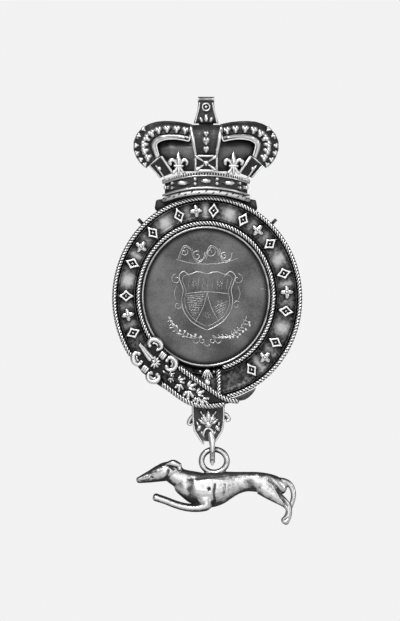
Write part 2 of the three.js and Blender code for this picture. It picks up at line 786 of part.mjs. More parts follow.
// Tapered loop above the crown, with a barrel on top that is bored for a pin or a cord.
function suspensionLoop() {
  const top = crownBase + crown.height;
  const foot = top - loop.foot;
  const eye = top + loop.rise;
  const half = [[1, 0], [0.85, 0.25], [0.68, 0.55], [loop.neckHalfWidth / loop.footHalfWidth, 0.9]];
  const side = (sign) => half.map(([width, rise]) => [
    crown.shiftX + sign * width * loop.footHalfWidth,
    THREE.MathUtils.lerp(foot, eye, rise),
  ]);
  const outline = [...side(1), ...side(-1).reverse()];
  const body = plate(outline, -loop.middle + loop.thickness / 2, loop.thickness, loop.bevel);
  const barrel = new THREE.CylinderGeometry(loop.barrelRadius, loop.barrelRadius, loop.barrelLength, 12);
  const bore = new THREE.CylinderGeometry(loop.bore, loop.bore, loop.barrelLength * 1.5, 8);
  const [tube, hole] = [barrel, bore].map((cylinder) => {
    cylinder.rotateZ(right);
    cylinder.translate(crown.shiftX, -loop.middle, eye);
    return toSolid(cylinder);
  });
  const front = -loop.middle - loop.thickness / 2;
  const onLoop = (across, rise) => {
    const z = THREE.MathUtils.lerp(foot, eye, rise);
    return new THREE.Vector3(crown.shiftX + across * loop.footHalfWidth, front, z);
  };
  const lobeSize = [0.18, 0.15, 0.35].map((share) => share * loop.footHalfWidth);
  const lobes = [[-0.62, 0.2, 0.3], [0, 0.24, 0], [0.62, 0.2, -0.3]].map(([across, rise, tilt]) => {
    return blob(onLoop(across, rise), lobeSize, tilt);
  });
  const [stemHalf, stemTop] = [0.9 * loop.neckHalfWidth, foot + 2 * sunk];
  const stem = [[-1, 0], [-1, -1], [1, -1], [1, 0]].map(([x, z]) => {
    return [crown.shiftX + x * stemHalf, stemTop + z * loop.stem];
  });
  const stemPlate = plate(stem, -loop.middle + (2 / 3) * loop.thickness, (2 / 3) * loop.thickness);
  return cut(unite([body, tube, ...lobes, pearl(onLoop(0, 0.66), loop.rivet), stemPlate]), [hole]);
}

function onBuckle(across, rise, y) {
  return new THREE.Vector3(buckle.x + across * buckle.plateRadius, y, buckle.z + rise * buckle.plateRadius);
}

// Buckle scrolls. Columns: place across and up as shares of the plate's radius, size as a share of a whole
// scroll, then first turn and sweep in degrees.
const scrollRows = [
  [0.037, 0.898, 1.08, -75, 200],
  [-0.826, 0.221, 1.03, -16, -180],
  [0.977, -0.151, 0.95, -35, 256],
  [0.012, -0.872, 0.88, -45, -238],
];

function buckleScroll([across, rise, size, firstTurn, sweep], clearance) {
  const centre = onBuckle(across, rise, -(buckle.standoff + 1.3 * buckle.wire));
  const steps = 12;
  const stations = Array.from({ length: steps + 1 }, (_, step) => {
    const share = step / steps;
    const turn = degrees(firstTurn + sweep * share);
    const curl = 1 - 0.35 * Math.abs(2 * share - 1) ** 4;
    const reach = size * buckle.scroll * curl;
    const at = new THREE.Vector3(Math.sin(turn), 0, Math.cos(turn)).multiplyScalar(reach).add(centre);
    return { at, up: buckle.wire + clearance, deep: buckle.wire + clearance };
  });
  return limb(stations, 6);
}

function buckleFrame(clearance) {
  const disc = aroundOval(24, (turn) => {
    const reach = buckle.plateRadius + clearance;
    return [buckle.x + reach * Math.sin(turn), buckle.z + reach * Math.cos(turn)];
  });
  const base = plate(disc, clearance - buckle.standoff, buckle.plateThickness + 2 * clearance);
  const knuckleSize = [0.49, 0.37, 0.33].map((share) => share * buckle.plateRadius + 2 * clearance);
  const knuckles = [[0.58, 0.384], [-0.535, -0.477]].map(([across, rise]) => {
    const block = new THREE.BoxGeometry(...knuckleSize);
    const at = onBuckle(across, rise, -(buckle.standoff + 0.2 * buckle.plateRadius));
    block.rotateY(degrees(-40));
    block.translate(at.x, at.y, at.z);
    return toSolid(block);
  });
  return unite([base, ...scrollRows.map((row) => buckleScroll(row, clearance)), ...knuckles]);
}

// The tongue's prong. Columns: place across and up as shares of the plate's radius, and size.
const prongRows = [
  [-0.826, 1.035, 0.6],
  [-0.605, 0.744, 0.78],
  [-0.372, 0.442, 0.95],
  [-0.144, 0.174, 1.1],
];

function buckleTongue() {
  const y = -(buckle.standoff + buckle.plateThickness + gap + tongue.radius);
  const prong = limb(prongRows.map(([across, rise, size]) => ({
    at: onBuckle(across, rise, y),
    up: size * tongue.radius,
    deep: tongue.radius,
  })), 8);
  const centre = onBuckle(0.128, -0.105, y);
  const petalSize = [0.34, 0.41, 0.5].map((share) => share * tongue.rosette);
  const petals = Array.from({ length: 5 }, (_, i) => {
    const turn = degrees(72 * i + 20);
    const out = new THREE.Vector3(Math.sin(turn), 0, Math.cos(turn)).multiplyScalar(0.55 * tongue.rosette);
    return blob(out.add(centre), petalSize, turn);
  });
  return unite([prong, ...petals]);
}

// Edges of the strap's tail, in shares of the strap's half-width and half-height.
const tailLowerRows = [
  [-0.475, -0.83],
  [-0.39, -0.89],
  [-0.285, -0.962],
  [-0.181, -1.017],
  [-0.076, -1.042],
  [0.05, -1.048],
  [0.19, -1.03],
];
const tailUpperRows = [
  [-0.3, -0.668],
  [-0.233, -0.714],
  [-0.139, -0.78],
  [0.008, -0.875],
  [0.127, -0.949],
  [0.229, -0.99],
  [0.335, -1.004],
];

function onTail([across, rise], y) {
  return new THREE.Vector3(across * strap.halfWidth, y, rise * strap.halfHeight);
}

function tailRope(rows, clearance) {
  const radius = rope.radius + clearance;
  const places = smooth(rows, 12).map((row) => onTail(row, -tail.ropeStandoff));
  return bar(places.map((at) => ({ at, up: radius, deep: radius })), 8);
}

// Lobed leaf along the tail. Spine columns: place along it and half-width as a share of a lobe's length.
// Lobe columns: place along the spine, side, and length as a share.
const spineRows = [
  [0, 0.2],
  [0.35, 0.33],
  [0.75, 0.26],
  [1, 0.37],
];
const lobeRows = [
  [0.2, -1, 0.7],
  [0.42, 1, 0.95],
  [0.45, -1, 0.95],
  [0.66, 1, 1],
  [0.68, -1, 0.95],
  [0.88, 1, 0.85],
  [0.9, -1, 0.7],
];

function tailLeaf() {
  const y = -(tail.back + tail.thickness);
  const [start, end] = [onTail([-0.44, -0.72], y), onTail([-0.02, -1.0], y)];
  const spine = limb(spineRows.map(([along, half]) => ({
    at: start.clone().lerp(end, along),
    up: half * tail.leafLobe,
    deep: tail.leafRise * 0.8,
  })), 8);
  const heading = end.clone().sub(start).normalize();
  const lobes = lobeRows.map(([along, side, size]) => {
    const out = new THREE.Vector3(-heading.z * side, 0, heading.x * side).addScaledVector(heading, 0.7);
    const root = start.clone().lerp(end, along - 0.1);
    const reach = out.setLength(size * tail.leafLobe);
    return limb([
      { at: root, up: 0.13 * tail.leafLobe, deep: tail.leafRise * 0.6 },
      { at: root.clone().addScaledVector(reach, 0.55), up: 0.22 * tail.leafLobe, deep: tail.leafRise * 0.75 },
      { at: root.clone().add(reach), up: 0.24 * tail.leafLobe, deep: tail.leafRise * 0.6 },
    ], 6);
  });
  return unite([spine, ...lobes]);
}

function strapTail() {
  const edges = [smooth(tailUpperRows, 10), smooth(tailLowerRows, 10).reverse()].flat();
  const outline = asOutline(edges.map((row) => onTail(row, 0)));
  const body = unite([plate(outline, -tail.back, tail.thickness), tailLeaf()]);
  return cut(body, [tailRope(tailUpperRows, gap), tailRope(tailLowerRows, gap), buckleFrame(gap)]);
}

// Places on the hanger: across as a share of its half-width, down as a share of its length.
const hangerTop = -(strap.halfHeight + hanger.drop);

function onHanger(across, down, y) {
  return new THREE.Vector3(hanger.shiftX + across * hanger.halfWidth, y, hangerTop - down * hanger.length);
}

function hangerPlate() {
  const half = [[1, 0], [1, 0.35], [0.91, 0.63], [0.79, 0.72], [0.61, 0.82], [0.43, 0.91], [0.25, 1]];
  const side = (sign) => half.map(([across, down]) => onHanger(sign * across, down, 0));
  const outline = [...side(1), ...side(-1).reverse()];
  const holes = [-1, 1].map((sign) => {
    const corners = [[0.5, 0.66], [0.22, 0.71], [0.24, 0.84]];
    const outlineHere = asOutline(corners.map(([across, down]) => onHanger(sign * across, down, 0)));
    return plate(outlineHere, 0, hanger.front + hanger.relief);
  });
  return cut(plate(asOutline(outline), -hanger.back, hanger.front - hanger.back, hanger.bevel), holes);
}

// Acanthus relief. Columns: across, down, half-width and half-height as shares of the hanger, and tilt.
const acanthusRows = [
  [0, 0.24, 0.124, 0.144, 0],
  [-0.4, 0.26, 0.094, 0.085, -0.5],
  [0.4, 0.26, 0.094, 0.085, 0.5],
  [-0.3, 0.42, 0.112, 0.11, -0.7],
  [0.3, 0.42, 0.112, 0.11, 0.7],
  [-0.62, 0.52, 0.124, 0.085, -0.35],
  [0.62, 0.52, 0.124, 0.085, 0.35],
  [0, 0.57, 0.225, 0.064, 0],
];

function hangerRelief() {
  return unite(acanthusRows.map(([across, down, width, tall, tilt]) => {
    const size = [width * hanger.halfWidth, hanger.relief, tall * hanger.length];
    return blob(onHanger(across, down, -hanger.front), size, tilt);
  }));
}

function hangerHorn(side) {
  const path = side < 0
    ? [[-0.82, 0.33, 0.8], [-1.0, 0.41, 1], [-1.22, 0.5, 0.85]]
    : [[0.8, 0.28, 0.8], [1.05, 0.33, 1], [1.28, 0.41, 0.85]];
  const y = -(hanger.front + hanger.back) / 2;
  return limb(path.map(([across, down, size]) => ({
    at: onHanger(across, down, y),
    up: size * hanger.horn,
    deep: size * hanger.horn,
  })), 8);
}

// Eye-shaped hook below the hanger. The ring's wire passes through its window from side to side.
const pivot = new THREE.Vector3(hook.shiftX, -hook.middle, -(strap.halfHeight + hook.pivotDrop));
const saddleTop = pivot.z + hook.width / 2;

function hookEye() {
  const outer = ring.wire + gap + hook.leg;
  const low = saddleTop - hook.saddle;
  const top = saddleTop + hook.window + hook.root;
  const half = [[outer, top], [outer, low + 0.545 * hook.saddle], [outer * 0.6, low + 0.127 * hook.saddle]];
  const outline = [...half, [0, low], ...half.map(([y, z]) => [-y, z]).reverse()];
  const bevel = hook.width / 4;
  const shape = new THREE.Shape(outline.map(([y, z]) => new THREE.Vector2(y, z)));
  const body = new THREE.ExtrudeGeometry(shape, {
    depth: hook.width - 2 * bevel,
    bevelThickness: bevel,
    bevelSize: bevel,
    bevelOffset: -bevel,
    bevelSegments: 1,
  });
  const [sideways, forward] = [new THREE.Vector3(1, 0, 0), new THREE.Vector3(0, 1, 0)];
  body.translate(0, 0, bevel - hook.width / 2);
  body.applyMatrix4(new THREE.Matrix4().makeBasis(forward, upward, sideways));
  body.translate(pivot.x, pivot.y, 0);
  return toSolid(body);
}

// The hook's window flares at both sides, which rounds the saddle that the ring hangs on, and runs on
// sideways through the foot of the hanger to leave the ring room to swing.
function hookWindow() {
  const halfWidth = ring.wire + gap;
  const [halfHeight, middle] = [hook.window / 2, saddleTop + hook.window / 2];
  const corners = [[-1, -0.8], [-0.8, -1], [0.8, -1], [1, -0.8], [1, 1], [-1, 1]];
  const flare = (x, grow) => corners.map(([y, z]) => {
    return new THREE.Vector3(pivot.x + x, pivot.y + y * (halfWidth + grow), middle + z * (halfHeight + grow));
  });
  const [edge, bevel] = [hook.width / 2, hook.width / 4];
  const half = [flare(bevel - edge, 0), flare(-edge, bevel), flare(-2 * hook.width, bevel)];
  const mirrored = half.map((section) => section.map((point) => point.clone().setX(2 * pivot.x - point.x)));
  return loft([...half.reverse(), ...mirrored]);
}

function hangerPiece() {
  const half = 0.7 * hanger.halfWidth;
  const foot = hangerTop - hanger.tabFoot;
  const block = (top, back, thickness) => {
    const corners = [[-half, foot], [half, foot], [half, top], [-half, top]];
    return plate(corners.map(([x, z]) => [hanger.shiftX + x, z]), back, thickness);
  };
  const tab = block(hangerTop + hanger.tab, gap + hanger.tabThickness, hanger.tabThickness);
  const web = block(hangerTop - 0.2 * hanger.tabFoot, gap + hanger.tabThickness / 2, hanger.web);
  const whole = unite([hangerPlate(), tab, web, hangerRelief(), hangerHorn(-1), hangerHorn(1), hookEye()]);
  return cut(whole, [hookWindow()]);
}

// Greyhound, from the pivot. Columns: along from the muzzle and rise from the feet as shares of its length
// and height, half-height as a share of the height, half-width as a share of the half-depth, and side.
const torsoRows = [
  [0.287, 0.645, 0.16, 0.75, 0],
  [0.331, 0.601, 0.196, 0.92, 0],
  [0.381, 0.556, 0.23, 1, 0],
  [0.444, 0.542, 0.26, 1, 0],
  [0.506, 0.568, 0.252, 0.9, 0],
  [0.569, 0.613, 0.211, 0.76, 0],
  [0.631, 0.648, 0.16, 0.6, 0],
  [0.694, 0.666, 0.139, 0.52, 0],
  [0.756, 0.662, 0.142, 0.54, 0],
  [0.819, 0.641, 0.145, 0.56, 0],
  [0.875, 0.608, 0.134, 0.5, 0],
  [0.919, 0.564, 0.089, 0.36, 0],
];
const neckRows = [
  [0.39, 0.6, 0.19, 0.85, 0],
  [0.344, 0.638, 0.178, 0.76, 0],
  [0.281, 0.712, 0.141, 0.68, 0],
  [0.225, 0.785, 0.126, 0.66, 0],
];
const headRows = [
  [0.269, 0.816, 0.1, 0.6, 0],
  [0.225, 0.823, 0.135, 0.74, 0],
  [0.188, 0.816, 0.138, 0.76, 0],
  [0.144, 0.786, 0.12, 0.66, 0],
  [0.094, 0.745, 0.09, 0.52, 0],
  [0.05, 0.712, 0.062, 0.4, 0],
  [0.014, 0.687, 0.04, 0.3, 0],
];
const foreLegRows = [
  [0.43, 0.43, 0.126, 0.4, 0.54],
  [0.44, 0.325, 0.075, 0.38, 0.56],
  [0.388, 0.28, 0.052, 0.36, 0.56],
  [0.319, 0.285, 0.048, 0.35, 0.55],
  [0.25, 0.326, 0.046, 0.34, 0.52],
  [0.188, 0.383, 0.046, 0.33, 0.5],
  [0.12, 0.437, 0.045, 0.32, 0.48],
];
const hindLegRows = [
  [0.794, 0.593, 0.134, 0.3, 0.34],
  [0.844, 0.504, 0.111, 0.3, 0.32],
  [0.894, 0.415, 0.077, 0.27, 0.28],
  [0.938, 0.334, 0.05, 0.22, 0.24],
  [0.956, 0.26, 0.04, 0.2, 0.22],
  [0.953, 0.163, 0.042, 0.2, 0.22],
  [0.932, 0.068, 0.055, 0.22, 0.22],
];
const tailRows = [
  [0.875, 0.67, 0.07, 0.3, 0],
  [0.931, 0.665, 0.048, 0.24, 0],
  [0.966, 0.615, 0.04, 0.2, 0],
  [0.983, 0.53, 0.036, 0.18, 0],
  [0.985, 0.43, 0.033, 0.17, 0],
  [0.972, 0.32, 0.03, 0.16, 0],
  [0.958, 0.25, 0.028, 0.16, 0],
];
const earRows = [
  [0.2, 0.925, 0.03, 0.18, 0.5],
  [0.235, 0.94, 0.042, 0.22, 0.58],
  [0.275, 0.905, 0.03, 0.18, 0.62],
];

function onHound(along, rise, side) {
  const x = (along - hound.pivotAlong) * hound.length;
  return new THREE.Vector3(x, side * hound.halfDepth, rise * hound.height - hound.feetDrop);
}

function houndPart(rows, sides, side = 1, steps = rows.length - 1) {
  return limb(smooth(rows, steps).map(([along, rise, up, deep, out]) => ({
    at: onHound(along, rise, out * side),
    up: up * hound.height,
    deep: deep * hound.halfDepth,
  })), sides);
}

function houndRing() {
  const contact = Math.sqrt(1 - (ring.shiftX / ring.holeHalfWidth) ** 2);
  const centreZ = hook.width / 2 + gap - ring.holeHalfHeight * contact;
  const [reachX, reachZ] = [ring.holeHalfWidth + ring.wire, ring.holeHalfHeight + ring.wire];
  const stations = aroundOval(20, (turn) => ({
    at: new THREE.Vector3(ring.shiftX + reachX * Math.sin(turn), 0, centreZ + reachZ * Math.cos(turn)),
    up: ring.wire,
    deep: ring.wire,
  }));
  const foot = new THREE.Vector3(ring.shiftX, 0, centreZ - ring.holeHalfHeight - 2 * ring.wire);
  return [bar(stations, 8, true), blob(foot, [ring.holeHalfWidth, ring.wire * 1.1, ring.wire])];
}

function greyhound() {
  const farLegRows = foreLegRows.map(([along, rise, ...rest]) => {
    return [along - 0.005, rise + 0.035 * (1 - rise), ...rest];
  });
  return unite([
    houndPart(torsoRows, 10),
    houndPart(neckRows, 8),
    houndPart(headRows, 8),
    houndPart(foreLegRows, 6, -1),
    houndPart(farLegRows, 6, 1),
    houndPart(hindLegRows, 6, -1),
    houndPart(hindLegRows, 6, 1),
    houndPart(tailRows, 6),
    houndPart(earRows, 6, -1),
    houndPart(earRows, 6, 1),
    ...houndRing(),
  ]);
}

// Pieces, each with its own grey metal: bright where it is polished, dark where it is worn and tarnished.
function piece(name, solid, grey, roughness) {
  const color = new THREE.Color(grey, grey, grey);
  const material = new THREE.MeshStandardMaterial({ color, roughness, metalness: 1 });
  const mesh = new THREE.Mesh(toGeometry(solid), material);
  mesh.name = name;
  return mesh;
}

const badge = new THREE.Group();
badge.position.set(-crown.shiftX, loop.middle, -(strap.halfHeight + crown.height + loop.rise));
badge.add(
  piece("suspension_loop", suspensionLoop(), 0.55, 0.35),
  piece("crown_arch_front", frontArchBody(), 0.6, 0.3),
  piece("crown_arch_left", sideArch(-1), 0.5, 0.35),
  piece("crown_arch_right", sideArch(1), 0.5, 0.35),
  piece("crown_cap", crownCap(), 0.4, 0.45),
  piece("crown_circlet", crownCirclet(), 0.5, 0.35),
  piece("ermine_rim", ermineRim(), 0.8, 0.3),
  piece("front_cross", frontCrossPiece(), 0.65, 0.3),
  piece("fleur_left", fleurPiece(-1), 0.7, 0.3),
  piece("fleur_right", fleurPiece(1), 0.7, 0.3),
  piece("side_cross_left", sideCrossPiece(-1), 0.5, 0.35),
  piece("side_cross_right", sideCrossPiece(1), 0.5, 0.35),
  piece("crown_bracket", crownBracket(), 0.35, 0.5),
  piece("belt_frame", beltFrame(), 0.45, 0.4),
  piece("outer_rope", outerRope(), 0.65, 0.3),
  piece("inner_rope", innerRope(), 0.6, 0.3),
  piece("end_rope", endRopeBar(rope.radius), 0.7, 0.3),
  piece("bezel", bezelCollar(), 0.8, 0.2),
  piece("medallion_plate", medallionPlate(), 0.42, 0.5),
  piece("back_plate", backCover(0), 0.5, 0.4),
  piece("back_clip_left", backClip(-1), 0.35, 0.5),
  piece("back_clip_right", backClip(1), 0.35, 0.5),
  piece("buckle_frame", buckleFrame(0), 0.75, 0.3),
  piece("buckle_tongue", buckleTongue(), 0.75, 0.3),
  piece("strap_tail", strapTail(), 0.5, 0.35),
  piece("tail_rope_upper", tailRope(tailUpperRows, 0), 0.65, 0.3),
  piece("tail_rope_lower", tailRope(tailLowerRows, 0), 0.6, 0.3),
  piece("strap_fold", strapFold(), 0.4, 0.4),
  piece("hanger", hangerPiece(), 0.6, 0.3),
);

const swing = new THREE.Group();
swing.position.copy(pivot);
swing.add(piece("greyhound", greyhound(), 0.7, 0.25));
badge.add(swing);

const messengerBadge = new THREE.Group();
messengerBadge.add(badge);

export default messengerBadge;
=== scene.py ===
import math
from types import SimpleNamespace as Sizes

import bmesh
import bpy
import numpy as np
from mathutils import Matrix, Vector, noise


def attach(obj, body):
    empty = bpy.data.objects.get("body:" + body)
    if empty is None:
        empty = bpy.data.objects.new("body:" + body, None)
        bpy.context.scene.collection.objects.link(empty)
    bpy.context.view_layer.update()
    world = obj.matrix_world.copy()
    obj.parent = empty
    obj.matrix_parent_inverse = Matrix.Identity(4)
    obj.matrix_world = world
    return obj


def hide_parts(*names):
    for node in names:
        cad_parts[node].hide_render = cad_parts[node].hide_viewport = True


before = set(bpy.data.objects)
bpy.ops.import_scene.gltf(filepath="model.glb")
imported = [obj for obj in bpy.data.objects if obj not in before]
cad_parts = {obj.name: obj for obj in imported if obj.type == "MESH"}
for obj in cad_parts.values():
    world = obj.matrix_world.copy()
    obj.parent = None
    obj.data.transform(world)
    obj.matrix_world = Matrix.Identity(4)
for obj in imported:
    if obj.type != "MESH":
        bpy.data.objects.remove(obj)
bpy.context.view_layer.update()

# Lengths are millimetres in the strap's own frame: its centre is the origin, +Z is up, the front faces -Y
# and y = 0 is the strap's flat back. A turn runs clockwise from the top as seen from the front.
MM = 0.001
STRAP_CENTRE = np.array([0.3, 3.0, -53.6])
STRAP = Sizes(half_width=25.7, half_height=27.7, depth=2.3, floor=1.7, seat=0.92)
OPENING = Sizes(half_width=17.1, half_height=18.7, shift_x=-0.35, shift_z=0.54)
ROPE = Sizes(radius=0.6, strands=3, pitch=0.87, step=0.1)
BEZEL_WALL = 0.6
GAP = 0.3
PIVOT = np.array([1.4, -1.2, -42.7])

FULL_TURN = 2 * math.pi
BACKWARD = np.array([0, 1.0, 0])
UP = np.array([0, 0, 1.0])

BADGE = "badge"
HOUND = "greyhound"


# Shapes as points and faces.

def circle(sides):
    return np.arange(sides) / sides * FULL_TURN


def oval(centre, across, wide, deep, sides):
    """A ring of points, wide along the across direction and deep towards the front and the back."""
    turns = circle(sides)
    return centre + wide * np.cos(turns)[:, None] * across + deep * np.sin(turns)[:, None] * BACKWARD


def loft(rings, joined=False):
    """A skin through rings of equal point count, with fans over its ends unless it is joined."""
    count, size = len(rings), len(rings[0])
    points = [point for ring in rings for point in ring]
    faces = []
    for i in range(count if joined else count - 1):
        near, far = i * size, (i + 1) % count * size
        for j in range(size):
            k = (j + 1) % size
            faces.append((near + j, near + k, far + k, far + j))
    if not joined:
        for end in (0, count - 1):
            points.append(np.mean(np.asarray(rings[end]), axis=0))
            hub = len(points) - 1
            faces += [(end * size + j, end * size + (j + 1) % size, hub) for j in range(size)]
    return points, faces


def smooth_rows(rows, steps):
    """Rows on a smooth curve through the given ones, so many steps from each to the next."""
    rows = np.asarray(rows, float)
    ends = np.concatenate([rows[:1], rows, rows[-1:]])
    spread = []
    for a, b, c, d in zip(ends[:-3], ends[1:-2], ends[2:-1], ends[3:]):
        for t in np.arange(steps) / steps:
            bend = (2 * a - 5 * b + 4 * c - d) * t ** 2 + (3 * b - a - 3 * c + d) * t ** 3
            spread.append(0.5 * (2 * b + (c - a) * t + bend))
    return np.array(spread + [rows[-1]])


def resample(path, step):
    """Points on a smooth curve through a path, a nearly even step apart."""
    dense = smooth_rows(path, 24)
    run = np.concatenate([[0], np.cumsum(np.linalg.norm(np.diff(dense, axis=0), axis=1))])
    even = np.linspace(0, run[-1], max(int(run[-1] / step), 2) + 1)
    return np.stack([np.interp(even, run, dense[:, axis]) for axis in range(3)], axis=1)


def swell(path, radii, places=None):
    """A radius for each point of a path, from a few spread along it."""
    places = np.linspace(0, 1, len(radii)) if places is None else places
    return np.interp(np.linspace(0, 1, len(path)), places, radii)


def path_frames(path):
    """Directions along a path and across it, both in the badge's plane."""
    along = np.gradient(path, axis=0)
    along[:, 1] = 0
    along /= np.linalg.norm(along, axis=1)[:, None]
    across = np.stack([along[:, 2], np.zeros(len(path)), -along[:, 0]], axis=1)
    return along, across


# A bar's rounded end: reach past the last point and size, as shares of the radius.
TIP_ROWS = ((0.5, 0.86), (0.86, 0.5), (0.98, 0.15))


def tube(path, radii, sides=12, flat=1.0, round_ends=True):
    """A bar along a path in the badge's plane. radii is one number or one for each point."""
    path = np.asarray(path, float)
    radii = np.broadcast_to(np.asarray(radii, float), (len(path),))
    along, across = path_frames(path)
    stations = list(zip(path, radii, across))
    if round_ends:
        tips = [[(path[end] + sign * along[end] * radii[end] * reach, radii[end] * size, across[end])
                 for reach, size in TIP_ROWS] for end, sign in ((0, -1), (-1, 1))]
        stations = tips[0][::-1] + stations + tips[1]
    return loft([oval(point, side, radius, flat * radius, sides) for point, radius, side in stations])


def twisted_rope(path, radius, sides=24):
    """Strands laid in a right-handed twist along a path. The relief is high on the strands' ridges."""
    path = resample(path, ROPE.step)
    _, across = path_frames(path)
    run = np.arange(len(path)) * ROPE.step
    rings, relief = [], []
    for point, side, distance in zip(path, across, run):
        twist = FULL_TURN * distance / (ROPE.strands * ROPE.pitch)
        ridges = np.abs(np.cos(ROPE.strands / 2 * (circle(sides) - twist)))
        taper = min(1.0, 0.55 + min(distance, run[-1] - distance) / radius)
        reach = (radius * (0.64 + 0.36 * ridges ** 0.7) * taper)[:, None]
        rings.append(oval(point, side, reach, reach, sides))
        relief.extend(1.4 * ridges - 0.95)
    points, faces = loft(rings)
    return points, faces, relief + [0, 0]


def turn_matrix(angle):
    """Turns in the badge's plane, clockwise as seen from the front."""
    c, s = math.cos(angle), math.sin(angle)
    return np.array([[c, 0, s], [0, 1, 0], [-s, 0, c]])


def dome(centre, radii, rows=8, sides=16, tilt=0.0):
    """A whole ellipsoid, of which half shows as a dome, tilted in the badge's plane."""
    rings = []
    for polar in np.arange(1, rows) / rows * math.pi:
        ring = [
            radii[0] * math.sin(polar) * np.cos(circle(sides)),
            radii[1] * math.sin(polar) * np.sin(circle(sides)),
            np.full(sides, radii[2] * math.cos(polar)),
        ]
        rings.append(np.stack(ring, axis=1) @ turn_matrix(tilt).T + np.asarray(centre))
    return loft(rings)


def direction(turn):
    return np.array([math.sin(turn), 0, math.cos(turn)])


def tilt_of(out):
    return math.atan2(out[0], out[2])


# Objects.

def make_object(name, points, faces, finish, body=BADGE):
    """A new piece of a body, or a bare object where body is None."""
    mesh = bpy.data.meshes.new(name)
    placed = (np.asarray(points, float) + STRAP_CENTRE) * MM
    mesh.from_pydata(placed.tolist(), [], [tuple(face) for face in faces])
    mesh.update()
    fixer = bmesh.new()
    fixer.from_mesh(mesh)
    bmesh.ops.recalc_face_normals(fixer, faces=fixer.faces)
    fixer.to_mesh(mesh)
    fixer.free()
    mesh.materials.append(MATERIALS[finish])
    mesh.shade_smooth()
    made = bpy.data.objects.new(name, mesh)
    bpy.context.scene.collection.objects.link(made)
    if body:
        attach(made, body)
    return made


def set_values(mesh, name, values):
    attribute = mesh.attributes.new(name, "FLOAT", "POINT")
    attribute.data.foreach_set("value", values)


class Builder:
    """Points and faces gathered from several shapes, to make one joined mesh."""

    def __init__(self):
        self.points = []
        self.faces = []

    def add(self, points, faces):
        first = len(self.points)
        self.points.extend(np.asarray(points, float).tolist())
        self.faces.extend([tuple(first + corner for corner in face) for face in faces])

    def dome(self, *shape, **options):
        self.add(*dome(*shape, **options))

    def tube(self, *shape, **options):
        self.add(*tube(*shape, **options))

    def make(self, name, finish, body=BADGE):
        return make_object(name, self.points, self.faces, finish, body)


# Places on the strap.

def outer_edge(turn, y=0.0):
    return np.array([STRAP.half_width * math.sin(turn), y, STRAP.half_height * math.cos(turn)])


def opening_edge(turn, y=0.0):
    x = OPENING.shift_x + OPENING.half_width * math.sin(turn)
    return np.array([x, y, OPENING.shift_z + OPENING.half_height * math.cos(turn)])


def on_strap(turn, share, y=0.0):
    return opening_edge(turn, y) * (1 - share) + outer_edge(turn, y) * share


def from_outer(turn, inset, y=0.0):
    inward = opening_edge(turn) - outer_edge(turn)
    return outer_edge(turn, y) + inward / np.linalg.norm(inward) * inset


def from_opening(turn, offset, y=0.0):
    outward = outer_edge(turn) - opening_edge(turn)
    return opening_edge(turn, y) + outward / np.linalg.norm(outward) * offset


ROPE_CENTRE = STRAP.seat + GAP + ROPE.radius
INNER_ROPE = BEZEL_WALL / 2 + GAP + ROPE.radius
OUTER_LIP = 2 * ROPE.radius + GAP
INNER_LIP = INNER_ROPE + ROPE.radius + GAP


# Materials: silver that is bright on its high places and dark with tarnish in its hollows.

def new_material(name):
    material = bpy.data.materials.new(name)
    material.use_nodes = True
    tree = material.node_tree
    return material, tree, tree.nodes["Principled BSDF"]


def feed(tree, socket, value):
    """Links an output to a socket, or sets the socket where the value is a number."""
    if isinstance(value, bpy.types.NodeSocket):
        tree.links.new(value, socket)
    elif socket.type == "RGBA":
        socket.default_value = (value, value, value, 1)
    else:
        socket.default_value = value


def node(tree, kind, **values):
    made = tree.nodes.new(kind)
    for key, value in values.items():
        setattr(made, key, value)
    return made


def maths(tree, operation, first, second):
    made = node(tree, "ShaderNodeMath", operation=operation)
    feed(tree, made.inputs[0], first)
    feed(tree, made.inputs[1], second)
    return made.outputs[0]


def scaled(tree, value, factor, offset=0.0):
    """A value times a factor, about an offset that is taken off first."""
    if offset:
        value = maths(tree, "SUBTRACT", value, offset)
    return maths(tree, "MULTIPLY", value, factor)


def noise_at(tree, scale, detail=3.0, roughness=0.55, stretch=(1, 1, 1)):
    """Noise in millimetres of the object's own space, so that it follows the piece."""
    mapping = node(tree, "ShaderNodeMapping")
    mapping.inputs["Scale"].default_value = [share / MM for share in stretch]
    tree.links.new(node(tree, "ShaderNodeTexCoord").outputs["Object"], mapping.inputs["Vector"])
    texture = node(tree, "ShaderNodeTexNoise")
    texture.inputs["Scale"].default_value = scale
    texture.inputs["Detail"].default_value = detail
    texture.inputs["Roughness"].default_value = roughness
    tree.links.new(mapping.outputs[0], texture.inputs["Vector"])
    return texture.outputs["Fac"]


def ramp(tree, value, low, high):
    made = node(tree, "ShaderNodeMapRange", interpolation_type="SMOOTHSTEP")
    feed(tree, made.inputs["Value"], value)
    made.inputs["From Min"].default_value = low
    made.inputs["From Max"].default_value = high
    return made.outputs["Result"]


def mix_colour(tree, share, first, second):
    made = node(tree, "ShaderNodeMix", data_type="RGBA")
    feed(tree, made.inputs["Factor"], share)
    feed(tree, made.inputs[6], first)
    feed(tree, made.inputs[7], second)
    return made.outputs[2]


def openness(tree, reach):
    """One on open ground and less in hollows, felt as far as reach in millimetres."""
    occlusion = node(tree, "ShaderNodeAmbientOcclusion", samples=8)
    occlusion.inputs["Distance"].default_value = reach * MM
    return occlusion.outputs["AO"]


def mesh_value(tree, name):
    return node(tree, "ShaderNodeAttribute", attribute_name=name).outputs["Fac"]


def add_bump(tree, shader, height, strength, distance):
    bump = node(tree, "ShaderNodeBump")
    bump.inputs["Strength"].default_value = strength
    bump.inputs["Distance"].default_value = distance * MM
    tree.links.new(height, bump.inputs["Height"])
    tree.links.new(bump.outputs["Normal"], shader.inputs["Normal"])


